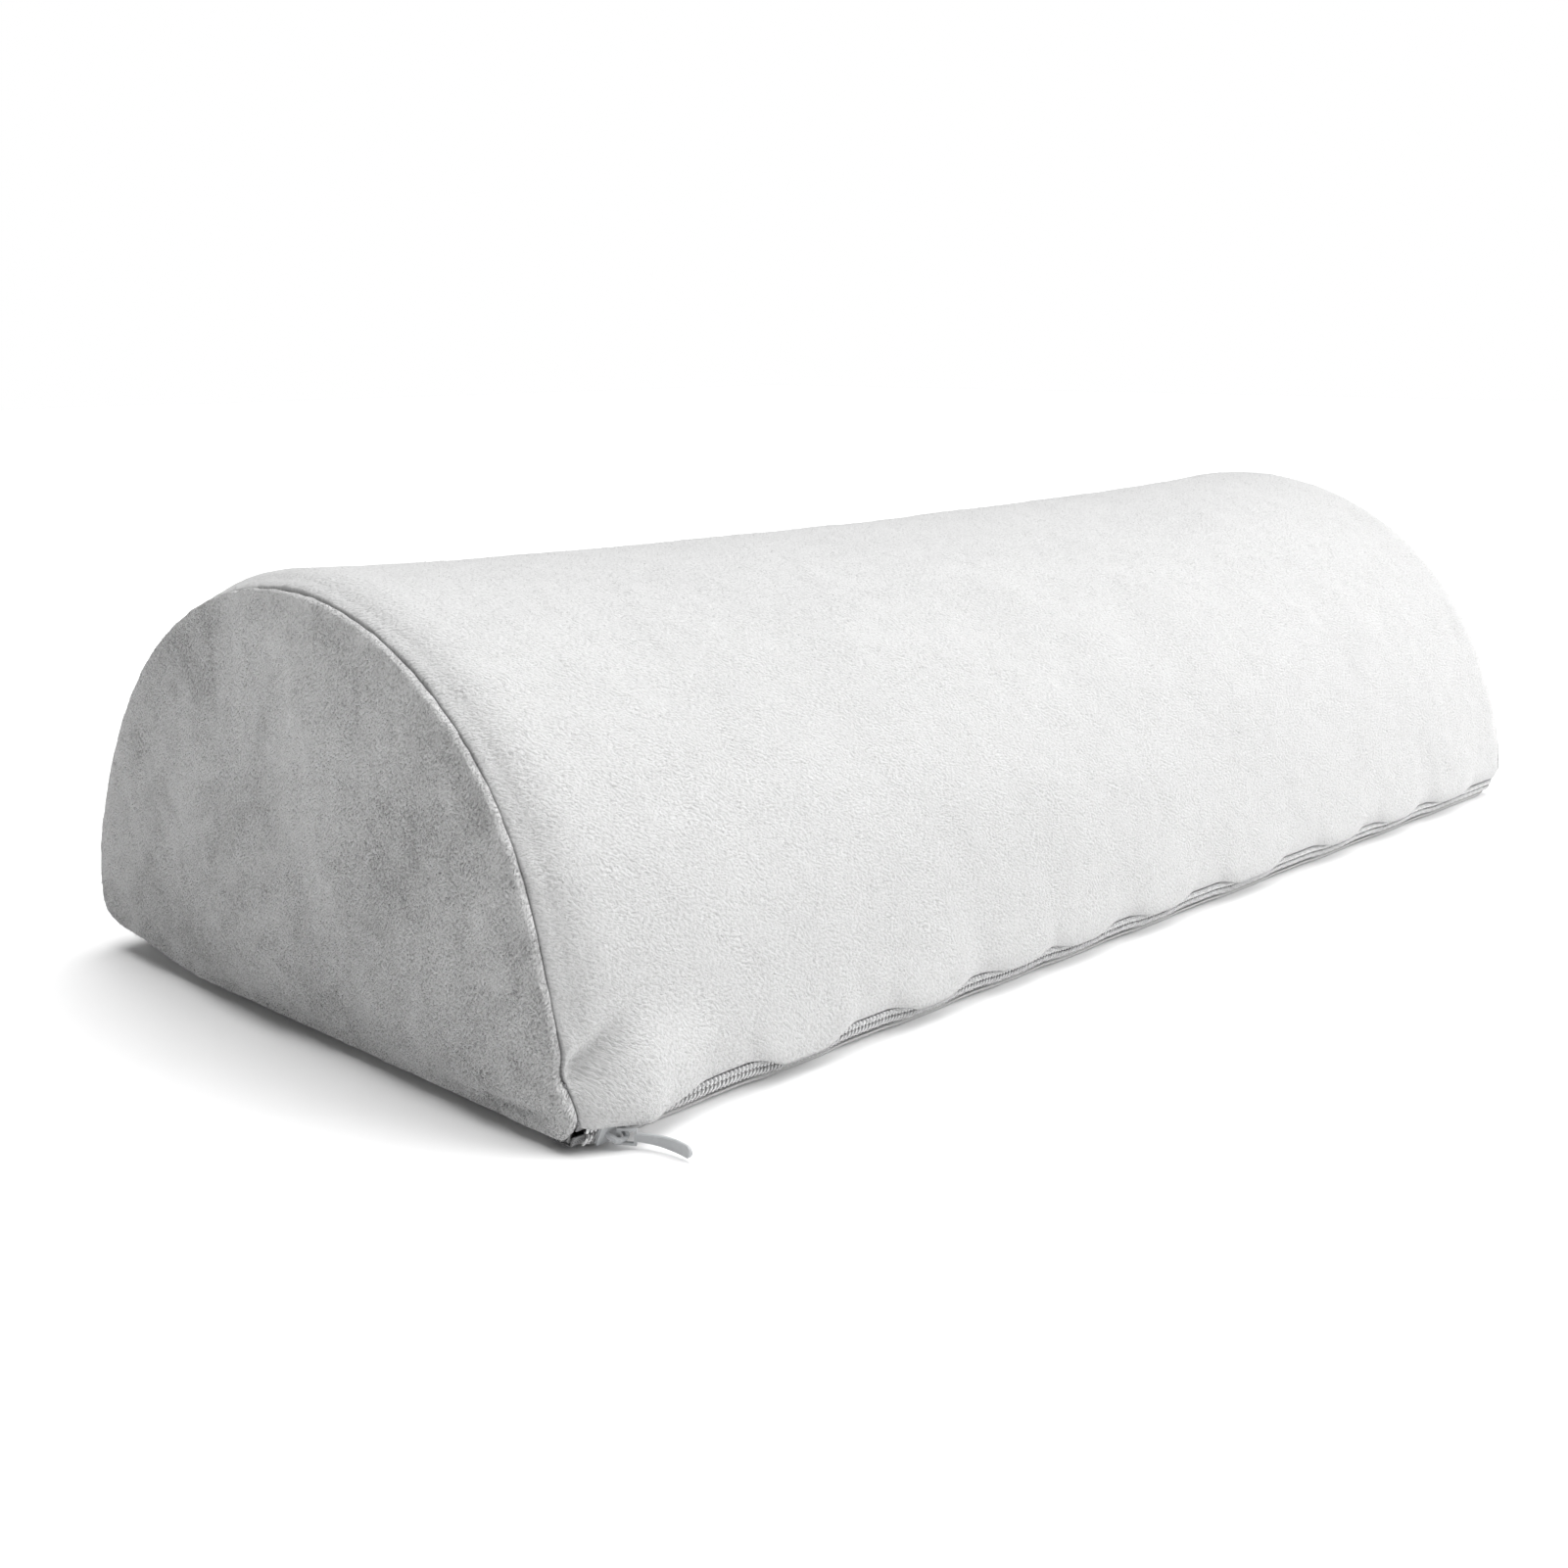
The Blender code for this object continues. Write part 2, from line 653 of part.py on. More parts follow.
def puller_middle(distance):
    """Place and heading of the puller's middle line, at a distance from the hinge."""
    bow_length = PULLER_LENGTH - EYE_LENGTH
    radius = bow_length / PULLER_TURN
    if distance <= EYE_LENGTH:
        return Vector((distance, 0)), 0.0
    turn = (distance - EYE_LENGTH) / radius
    place = Vector((EYE_LENGTH + radius * math.sin(turn), -radius * (1 - math.cos(turn))))
    return place, turn


def puller_half_width(distance):
    """Narrow at the neck, wider at the paddle, with a round end."""
    share = smooth((distance - EYE_LENGTH) / (PULLER_LENGTH - EYE_LENGTH) * 1.4)
    width = PULLER_NECK_HALF + (PULLER_END_HALF - PULLER_NECK_HALF) * share
    left = PULLER_LENGTH - distance
    if left < PULLER_END_HALF:
        width = math.sqrt(max(width ** 2 - (PULLER_END_HALF - left) ** 2, (0.2 * width) ** 2))
    return width


def build_puller(frame, parts, cutters, finish):
    """A bowed strip with an eye; the crossbar of the eye lies on the hinge axis."""
    rings = []
    bow = [EYE_LENGTH - EYE_ARM + (PULLER_LENGTH - PULLER_END_HALF - EYE_LENGTH + EYE_ARM) * step / 14
           for step in range(15)]
    tip = [PULLER_LENGTH - PULLER_END_HALF * (1 - math.sin(math.pi / 2 * step / 5))
           for step in range(1, 6)]
    thick = PULLER_THICKNESS / 2
    bevel = PULLER_THICKNESS / 4
    for distance in bow + tip:
        middle, turn = puller_middle(distance)
        side = Vector((math.sin(turn), math.cos(turn)))
        half = puller_half_width(distance)
        corners = ((thick, half - bevel), (thick - bevel, half), (-thick + bevel, half),
                   (-thick, half - bevel), (-thick, -half + bevel), (-thick + bevel, -half),
                   (thick - bevel, -half), (thick, -half + bevel))
        ring = []
        for out, up in corners:
            place = middle + side * out
            ring.append(Vector((place.x, place.y, up)))
        rings.append(ring)
    tab = loft("pull_tab", rings, parts, finish, True, True)
    half_bar = EYE_BAR / 2
    eye = box("puller_eye", (-half_bar, -half_bar, -EYE_HALF_WIDTH),
              (EYE_LENGTH, half_bar, EYE_HALF_WIDTH), cutters)
    hole = box("puller_hole", (half_bar, -EYE_BAR, -EYE_HALF_WIDTH + EYE_ARM),
               (EYE_LENGTH - EYE_ARM, EYE_BAR, EYE_HALF_WIDTH - EYE_ARM), cutters)
    turned = add_object("puller_heading", None, parts)
    turned.parent = frame
    turned.rotation_euler = (0, 0, -PULLER_REST)
    tab.parent = turned
    boolean(tab, eye, "UNION", turned)
    boolean(tab, hole, "DIFFERENCE", turned)
    return tab


def main():
    parts, cutters = start_scene()
    velour = material("pale_grey_velour", (0.68, 0.68, 0.68), 0.95)
    foam = material("white_foam", (0.86, 0.85, 0.80), 0.9)
    woven = material("grey_zip_tape", (0.62, 0.62, 0.62), 0.8)
    nylon = material("white_nylon_coil", (0.82, 0.82, 0.82), 0.35)
    thread = material("pale_grey_thread", (0.70, 0.70, 0.70), 0.6)
    enamel = material("grey_enamel", (0.42, 0.42, 0.43), 0.4, 0.3)

    build_foam(parts, foam)
    build_wrap(parts, velour)
    build_end_panel("left_end_panel", -1, parts, velour)
    build_end_panel("right_end_panel", 1, parts, velour)
    build_seam_thread("left_end_seam_thread", -1, parts, thread)
    build_seam_thread("right_end_seam_thread", 1, parts, thread)
    build_overlock("left_overlock_thread", -1, parts, thread)
    build_overlock("right_overlock_thread", 1, parts, thread)

    build_tape("upper_zip_tape", True, parts, woven)
    build_tape("lower_zip_tape", False, parts, woven)
    build_coil("upper_coil", 1, parts, nylon)
    build_coil("lower_coil", -1, parts, nylon)
    build_coil_stitching("upper_coil_stitching", 1, parts, thread)
    build_coil_stitching("lower_coil_stitching", -1, parts, thread)
    build_zip_seam_thread("upper_zip_seam_thread", True, parts, thread)
    build_zip_seam_thread("lower_zip_seam_thread", False, parts, thread)

    build_slider(slider_frame(parts), parts, cutters, enamel)
    build_puller(hinge_frame(parts), parts, cutters, enamel)


main()
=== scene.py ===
import math

import bpy
import numpy as np
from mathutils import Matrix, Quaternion, Vector


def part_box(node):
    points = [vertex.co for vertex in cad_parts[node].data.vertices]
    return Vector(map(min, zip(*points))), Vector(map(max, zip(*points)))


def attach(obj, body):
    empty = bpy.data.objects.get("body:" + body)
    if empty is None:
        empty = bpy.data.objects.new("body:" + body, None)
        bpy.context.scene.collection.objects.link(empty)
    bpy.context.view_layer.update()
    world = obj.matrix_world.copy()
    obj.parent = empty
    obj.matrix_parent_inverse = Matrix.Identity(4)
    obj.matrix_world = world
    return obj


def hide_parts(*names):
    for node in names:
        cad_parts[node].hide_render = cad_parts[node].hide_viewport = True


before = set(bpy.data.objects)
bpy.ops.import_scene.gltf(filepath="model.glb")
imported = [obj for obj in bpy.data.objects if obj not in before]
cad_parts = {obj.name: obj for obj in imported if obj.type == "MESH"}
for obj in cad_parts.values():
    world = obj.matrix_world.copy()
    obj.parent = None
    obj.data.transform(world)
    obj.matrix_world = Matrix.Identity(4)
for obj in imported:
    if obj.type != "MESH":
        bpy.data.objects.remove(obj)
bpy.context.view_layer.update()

bl_info = {
    "name": "Bolster cushion with zip-off cover",
    "version": (1, 0, 0),
    "blender": (4, 5, 0),
    "location": "View3D > Sidebar > Cushion",
    "description": "Dresses the half-moon bolster: velour cover, coil zip, threads and slider",
    "category": "Object",
}

MM = 0.001
ZIP_TILT = math.radians(25)
LIP = 3.2 * MM
CLOTH_LEVEL = 1.5 * MM
TAPE_LEVEL = 0.3 * MM
UPPER_FOLD = 6.0 * MM
LOWER_FOLD = 2.0 * MM
BACK_RADIUS = 12.0 * MM
ZIP_OUT = np.array([-math.cos(ZIP_TILT), -math.sin(ZIP_TILT)])
ZIP_UP = np.array([-math.sin(ZIP_TILT), math.cos(ZIP_TILT)])

# Where the slack cloth hangs over the chain, in mm from the left end: middle, half width and strength
LOBES = ((21.5, 2.5, 0.75), (66.7, 5.5, 0.95), (111.5, 4.0, 0.8), (146.0, 3.0, 0.55), (174.0, 3.5, 0.6),
         (211.7, 4.0, 0.62), (259.5, 7.0, 0.7), (312.0, 4.0, 0.6), (351.0, 4.0, 0.6), (389.5, 5.5, 0.6))
LOBE_EDGE = 12.0
LOBE_SAG = 2.9 * MM
LOBE_REACH = 2.6 * MM
EAR_SAG = 1.2 * MM
EAR_REACH = 2.0 * MM
# The zip waves this far up and down its face, and runs straight near both ends
ZIP_WAVE = 0.75 * MM
STRAIGHT_END = 26 * MM
# The nylon coil: one loop of wire each pitch
COIL_PITCH = 1.2 * MM
COIL_WIRE = 0.27 * MM
COIL_MIDDLE = 0.86 * MM
COIL_REACH = 1.05 * MM
COIL_LEVEL = 1.12 * MM
# Folded edges of the end panels, and the depth at which the seams are sewn
RIM_RADIUS = 1.15 * MM
RIM_INSET = 0.6 * MM
SEAM_DEPTH = 1.6 * MM
OVERLOCK_DEPTH = 8.0 * MM
# How far the front is drawn back at the left seam, by height (mm)
DRAW_HEIGHT = (0, 4, 9, 16, 29, 43, 59, 75, 92)
DRAW_BACK = (0.0, 1.6, 4.6, 6.3, 5.4, 4.0, 2.4, 0.7, 0.0)


# ---------------------------------------------------------------- helpers

def smooth(t):
    t = np.clip(t, 0.0, 1.0)
    return t * t * (3 - 2 * t)


def lattice(ix, iy, iz, seed):
    h = (ix.astype(np.uint32) * np.uint32(374761393) + iy.astype(np.uint32) * np.uint32(668265263)
         + iz.astype(np.uint32) * np.uint32(2147483647) + np.uint32(seed * 1274126177 % 4294967296))
    h = (h ^ (h >> np.uint32(13))) * np.uint32(1274126177)
    h = (h ^ (h >> np.uint32(16))) * np.uint32(2246822519)
    h = h ^ (h >> np.uint32(15))
    return h.astype(np.float64) / 4294967295.0 * 2 - 1


def noise(p, size, seed=0):
    """Soft lumps about `size` across, from -1 to 1, at points p (n, 3)."""
    q = np.asarray(p, float) / size
    base = np.floor(q).astype(np.int64)
    f = q - base
    f = f * f * f * (f * (f * 6 - 15) + 10)
    out = np.zeros(len(q))
    for dx in (0, 1):
        wx = f[:, 0] if dx else 1 - f[:, 0]
        for dy in (0, 1):
            wy = f[:, 1] if dy else 1 - f[:, 1]
            for dz in (0, 1):
                wz = f[:, 2] if dz else 1 - f[:, 2]
                out += wx * wy * wz * lattice(base[:, 0] + dx, base[:, 1] + dy, base[:, 2] + dz, seed)
    return out


def grid_faces(rows, cols, close_rows=False, close_cols=False, flip=False):
    i = np.arange(rows if close_rows else rows - 1)
    j = np.arange(cols if close_cols else cols - 1)
    a, b = np.meshgrid(i, j, indexing="ij")
    a2, b2 = (a + 1) % rows, (b + 1) % cols
    quads = np.stack([a * cols + b, a * cols + b2, a2 * cols + b2, a2 * cols + b], -1).reshape(-1, 4)
    return quads[:, ::-1] if flip else quads


def piece(name, verts, quads, tris=None, uv=None):
    """A smooth-shaded mesh object from arrays, with an optional flat map `uv` in metres per corner point."""
    verts = np.asarray(verts, np.float32)
    loops = [np.asarray(quads, np.int32).ravel()]
    starts = np.arange(len(quads)) * 4
    if tris is not None and len(tris):
        loops.append(np.asarray(tris, np.int32).ravel())
        starts = np.concatenate([starts, len(quads) * 4 + np.arange(len(tris)) * 3])
    loops = np.concatenate(loops)
    mesh = bpy.data.meshes.new(name)
    mesh.vertices.add(len(verts))
    mesh.vertices.foreach_set("co", verts.ravel())
    mesh.loops.add(len(loops))
    mesh.loops.foreach_set("vertex_index", loops)
    mesh.polygons.add(len(starts))
    mesh.polygons.foreach_set("loop_start", starts.astype(np.int32))
    mesh.update(calc_edges=True)
    mesh.polygons.foreach_set("use_smooth", np.ones(len(starts), bool))
    if uv is not None:
        layer = mesh.uv_layers.new(name="cloth")
        layer.data.foreach_set("uv", np.asarray(uv, np.float32)[loops].ravel())
    mesh.validate()
    obj = bpy.data.objects.new(name, mesh)
    bpy.context.scene.collection.objects.link(obj)
    return obj


def tube(path, radius, sides=6, closed=False):
    """Vertices and quads of a round strand along path (n, 3)."""
    path = np.asarray(path, float)
    n = len(path)
    if closed:
        tangent = np.roll(path, -1, 0) - np.roll(path, 1, 0)
    else:
        tangent = np.gradient(path, axis=0)
    tangent /= np.linalg.norm(tangent, axis=1)[:, None] + 1e-12
    ref = np.array([0.31, 0.53, 0.79])
    a = np.cross(tangent, ref)
    bad = np.linalg.norm(a, axis=1) < 0.2
    a[bad] = np.cross(tangent[bad], np.array([1.0, 0.0, 0.0]))
    for k in range(1, n):
        a[k] = a[k - 1] - tangent[k] * (a[k - 1] @ tangent[k])
        a[k] /= np.linalg.norm(a[k]) + 1e-12
    a[0] /= np.linalg.norm(a[0])
    b = np.cross(tangent, a)
    ang = np.arange(sides) / sides * 2 * np.pi
    radius = np.broadcast_to(np.asarray(radius, float), (n,))
    ring = np.cos(ang)[None, :, None] * a[:, None, :] + np.sin(ang)[None, :, None] * b[:, None, :]
    verts = (path[:, None, :] + ring * radius[:, None, None]).reshape(-1, 3)
    return verts, grid_faces(n, sides, close_rows=closed, close_cols=True)


def stitches(starts, ends, lift, radius, sides=5, points=5):
    """Vertices and quads of many short stitches, each a small arch from a start to an end, raised along lift."""
    starts, ends, lift = (np.asarray(v, float) for v in (starts, ends, lift))
    t = np.linspace(0, 1, points)
    arch = np.sin(np.pi * t)
    path = starts[:, None, :] * (1 - t)[None, :, None] + ends[:, None, :] * t[None, :, None]
    path = path + lift[:, None, :] * arch[None, :, None]
    along = ends - starts
    along /= np.linalg.norm(along, axis=1)[:, None]
    side = np.cross(along, lift)
    side /= np.linalg.norm(side, axis=1)[:, None] + 1e-12
    up = np.cross(side, along)
    ang = np.arange(sides) / sides * 2 * np.pi
    ring = np.cos(ang)[None, :, None] * side[:, None, :] + np.sin(ang)[None, :, None] * up[:, None, :]
    width = radius * (0.35 + 0.65 * np.sqrt(arch))
    verts = path[:, :, None, :] + ring[:, None, :, :] * width[None, :, None, None]
    faces = grid_faces(points, sides, close_cols=True)
    count = len(starts)
    quads = (faces[None, :, :] + (np.arange(count) * points * sides)[:, None, None]).reshape(-1, 4)
    return verts.reshape(-1, 3), quads


def zip_point(u, n):
    """(y, z) at u up the zip's face and n out of it, from the middle of the chain."""
    centre = zip_centre()
    u, n = np.broadcast_arrays(np.asarray(u, float), np.asarray(n, float))
    return centre + u[..., None] * ZIP_UP + n[..., None] * ZIP_OUT


def zip_centre():
    low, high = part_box("upper_coil_stitching"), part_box("lower_coil_stitching")
    mid = np.array([(low[0][k] + low[1][k] + high[0][k] + high[1][k]) / 4 for k in (1, 2)])
    return mid - 1.42 * MM * ZIP_OUT


def lobe_sizes(x):
    """How strongly the slack cloth hangs over the chain, 0 to 1, by place along."""
    a = (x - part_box("left_end_panel")[0][0]) / MM
    out = np.zeros_like(a)
    for centre, half, size in LOBES:
        out = np.maximum(out, size * smooth((half + LOBE_EDGE - np.abs(a - centre)) / LOBE_EDGE))
    return out


def wander(x):
    """How far the zip waves up and down its face: down under each lobe, up between, straight at both ends."""
    x = np.asarray(x, float)
    low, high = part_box("wrap_panel")
    fade = 16 * MM
    run = smooth((x - low[0] - STRAIGHT_END) / fade) * smooth((high[0] - STRAIGHT_END - x) / fade)
    return ZIP_WAVE * (0.9 - 2 * lobe_sizes(x)) * run


def over_point(s, n):
    """(y, z) at s above the chain's middle, following the upper tape up its face and round the cloth's fold."""
    s, n = np.broadcast_arrays(np.asarray(s, float), np.asarray(n, float))
    knee = LIP + CLOTH_LEVEL
    mean = UPPER_FOLD - CLOTH_LEVEL
    centre = zip_point(knee, CLOTH_LEVEL - UPPER_FOLD)
    angle = math.pi + ZIP_TILT - np.clip((s - knee) / mean, 0, ZIP_TILT)
    bend = centre + (mean + n)[..., None] * np.stack([np.cos(angle), np.sin(angle)], -1)
    bend[..., 1] += np.clip(s - knee - mean * ZIP_TILT, 0, None)
    straight = zip_point(np.minimum(s, knee), n)
    return np.where((s <= knee)[..., None], straight, bend)


def under_point(s, n):
    """(y, z) at s below the chain's middle, following the lower tape round its fold and in under the base."""
    s, n = np.broadcast_arrays(np.asarray(s, float), np.asarray(n, float))
    centre = zip_point(-LIP, CLOTH_LEVEL - LOWER_FOLD)
    mean = LOWER_FOLD - CLOTH_LEVEL
    turn = math.pi / 2 - ZIP_TILT
    angle = math.pi + ZIP_TILT + np.clip((s - LIP) / mean, 0, turn)
    bend = centre + (mean + n)[..., None] * np.stack([np.cos(angle), np.sin(angle)], -1)
    bend[..., 0] += np.clip(s - LIP - mean * turn, 0, None)
    straight = zip_point(-np.minimum(s, LIP), n)
    return np.where((s <= LIP)[..., None], straight, bend)


def cubic(fine, coarse):
    """Weights (fine, coarse) that carry values at even stations 0..1 to the given stations, without corners."""
    s = np.clip(np.asarray(fine, float), 0, 1) * (coarse - 1)
    i = np.minimum(np.floor(s).astype(int), coarse - 2)
    f = s - i
    w = np.stack([-0.5 * f + f ** 2 - 0.5 * f ** 3, 1 - 2.5 * f ** 2 + 1.5 * f ** 3,
                  0.5 * f + 2 * f ** 2 - 1.5 * f ** 3, -0.5 * f ** 2 + 0.5 * f ** 3], 1)
    out = np.zeros((len(s), coarse))
    for k in range(4):
        np.add.at(out, (np.arange(len(s)), np.clip(i + k - 1, 0, coarse - 1)), w[:, k])
    return out


# ---------------------------------------------------------------- the cushion's form

class Form:
    """The cover's outer surface: a section in (y, z) carried along x, shaped by given terms and by a cloth
    simulation.
    """

    def __init__(self, sizes):
        low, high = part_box("wrap_panel")
        self.half = high[0]
        self.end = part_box("right_end_panel")[1][0]
        self.width, self.height = high[1] - low[1], high[2]
        self.sizes = sizes
        self.field = None
        self.path, self.arc = self.section()
        self.total = self.arc[-1]

    def section(self):
        """Closely spaced points of the section from the lower lip, under, over and down to the upper lip."""
        half, h = self.width / 2, self.height
        front = zip_point(LIP + CLOTH_LEVEL, CLOTH_LEVEL)
        front_z = front[1] + UPPER_FOLD * math.sin(ZIP_TILT)
        low_lip = zip_point(-LIP, CLOTH_LEVEL)
        c = low_lip - LOWER_FOLD * ZIP_OUT
        a = np.radians(np.linspace(205, 270, 20))
        parts = [np.stack([c[0] + LOWER_FOLD * np.cos(a), c[1] + LOWER_FOLD * np.sin(a)], 1)]
        y = np.linspace(parts[0][-1, 0], half - BACK_RADIUS, 200)[1:]
        parts.append(np.stack([y, np.zeros_like(y)], 1))
        a = np.radians(np.linspace(270, 360, 30))[1:]
        parts.append(np.stack([half - BACK_RADIUS + BACK_RADIUS * np.cos(a),
                               BACK_RADIUS + BACK_RADIUS * np.sin(a)], 1))
        a = np.radians(np.linspace(0, 90, 220))[1:]
        parts.append(np.stack([half * np.cos(a), BACK_RADIUS + (h - BACK_RADIUS) * np.sin(a)], 1))
        a = np.radians(np.linspace(90, 180, 220))[1:]
        parts.append(np.stack([half * np.cos(a), front_z + (h - front_z) * np.sin(a)], 1))
        a = np.radians(np.linspace(180, 205, 12))[1:]
        parts.append(np.stack([UPPER_FOLD - half + UPPER_FOLD * np.cos(a), front_z + UPPER_FOLD * np.sin(a)], 1))
        parts.append(zip_point(np.linspace(LIP + CLOTH_LEVEL, LIP, 8), CLOTH_LEVEL)[1:])
        pts = np.concatenate(parts)
        step = np.hypot(*np.diff(pts, axis=0).T)
        return pts, np.concatenate([[0], np.cumsum(step)])

    def at(self, t):
        """(y, z) and outward (y, z) direction of the plain section at share t of its length."""
        s = np.clip(t, 0, 1) * self.total
        p = np.stack([np.interp(s, self.arc, self.path[:, k]) for k in (0, 1)], -1)
        d = 0.0008
        ahead = np.stack([np.interp(s + d, self.arc, self.path[:, k]) for k in (0, 1)], -1)
        behind = np.stack([np.interp(s - d, self.arc, self.path[:, k]) for k in (0, 1)], -1)
        along = ahead - behind
        along /= np.hypot(along[..., 0], along[..., 1])[..., None]
        return p, np.stack([along[..., 1], -along[..., 0]], -1)

    def shoulder(self, z):
        """How far the section is drawn in at the end seams, and over what run, by height."""
        up = smooth((z - 0.004) / 0.045)
        low = 1 - smooth(z / 0.006)
        return (0.9 + 1.7 * low + 3.0 * up) * MM, (2.5 + 5.0 * low + 9.5 * up) * MM

    def drawn_back(self, x, z):
        """How far the left seam holds the front back, by place along and height."""
        a = np.clip(x + self.end, 0, None)
        run = (5 + 19 * smooth((z / MM - 9) / 17)) * MM
        return np.interp(z / MM, DRAW_HEIGHT, DRAW_BACK) * MM * np.exp(-(a / run) ** 1.5)

    def shape(self, x, t, inset=0.0):
        """Points (n, 3) of the cover before its fine pile: x along, t round the section, inset inwards."""
        x, t, inset = np.broadcast_arrays(np.asarray(x, float), np.asarray(t, float), np.asarray(inset, float))
        p, out = self.at(t)
        y, z = p[..., 0], p[..., 1]
        end = np.clip(self.half - np.abs(x), 0, None)
        drop, run = self.shoulder(z)
        k = np.clip(1 - end / run, 0, 1)
        drawn = drop * (0.75 * k ** 2.1 + 0.25 * (1 - np.sqrt(np.clip(1 - k * k, 0, 1))))
        # the seam's roll and the groove the stitching pulls behind it
        high = smooth((z - 0.002) / 0.02)
        roll = self.sizes.seam_roll * np.exp(-(end / (1.5 * MM)) ** 2) * high
        groove = self.sizes.seam_groove * np.exp(-((end - 2.9 * MM) / (1.2 * MM)) ** 2) * high
        move = -drawn + roll - groove - inset
        q = np.stack([x, y + out[..., 0] * move, z + out[..., 1] * move], -1)
        # the top is fuller towards both ends
        share = np.clip(np.abs(x) / self.half, 0, 1)
        lift = -self.sizes.waist + (self.sizes.waist + self.sizes.end_rise) * share ** 2.6
        q[..., 2] *= 1 + lift * smooth((q[..., 2] - 0.012) / 0.05)
        # the back is pressed out low down, and its left corner lifts off the floor
        behind = smooth(q[..., 1] / 0.06)
        q[..., 1] += self.sizes.back_press * behind * np.exp(-((z - 0.034) / 0.022) ** 2)
        corner = np.exp(-((x + self.end) / 0.035) ** 2) * smooth((y - 0.045) / 0.05) * np.exp(-(z / 0.022) ** 2)
        q[..., 2] += self.sizes.corner_lift * corner
        # slack cloth: hanging lobes along the upper zip edge
        from_lip = (1 - t) * self.total
        lobe = lobe_sizes(x)
        away = np.exp(-(from_lip / (9.0 * MM)) ** 1.5)
        a = x + self.end
        ear = smooth((17 * MM - np.abs(a - 8 * MM)) / (8 * MM))
        down = -(LOBE_SAG * lobe ** 2 + EAR_SAG * ear) * np.exp(-(from_lip / (8.0 * MM)) ** 2)
        forth = (LOBE_REACH * lobe ** 0.6 + EAR_REACH * ear) * away
        forth = forth + 0.3 * MM * lobe * np.exp(-((from_lip - 16 * MM) / (16 * MM)) ** 2)
        near = np.exp(-(from_lip / (10 * MM)) ** 2) + np.exp(-(t * self.total / (4 * MM)) ** 2)
        down = down + wander(x) * near
        q[..., 1] += down * ZIP_UP[0] + forth * ZIP_OUT[0]
        q[..., 2] += down * ZIP_UP[1] + forth * ZIP_OUT[1] * 0.3
        # the front left corner: the seam draws the front back, a soft ear bulges beside it, with a dimple above
        drawn_back = self.drawn_back(x, z) * (y < 0)
        q[..., 1] -= out[..., 0] * drawn_back
        q[..., 2] -= out[..., 1] * drawn_back * 0.5
        bulge = np.exp(-((a - 17 * MM) / (13 * MM)) ** 2) * np.exp(-((from_lip - 11 * MM) / (9 * MM)) ** 2)
        valley = from_lip - 8.5 * MM - 0.7 * a
        dimple = np.exp(-((a - 6 * MM) / (7.5 * MM)) ** 2) * np.exp(-(valley / (3.0 * MM)) ** 2)
        dimple = dimple * smooth((a - 0.5 * MM) / (4 * MM))
        push = self.sizes.ear * bulge - self.sizes.dimple * dimple
        q[..., 1] += out[..., 0] * push
        q[..., 2] += out[..., 1] * push * 0.3
        return q, out

    def puckers(self, p, end, t):
        """Small gathers that run away from the end seams, fading over 14 mm."""
        fade = np.exp(-(end / (9.0 * MM)) ** 1.4)
        along = np.stack([t * self.total, end * 0.22, np.sign(p[:, 0]) * 0.3], 1)
        size = np.where(p[:, 0] < 0, 0.8, 0.35)
        return size * fade * (0.42 * noise(along, 7.5 * MM, 5) + 0.22 * noise(along, 3.6 * MM, 6)) * MM

    def lumps(self, p):
        """The cloth's broad unevenness and the tufts of its pile."""
        stretch = p * np.array([0.75, 1.0, 1.0])
        return (0.45 * noise(p, 60 * MM, 1) + 0.14 * noise(p, 19 * MM, 2)
                + 0.10 * noise(stretch, 5.2 * MM, 3) + 0.11 * noise(stretch, 2.6 * MM, 4)) * MM


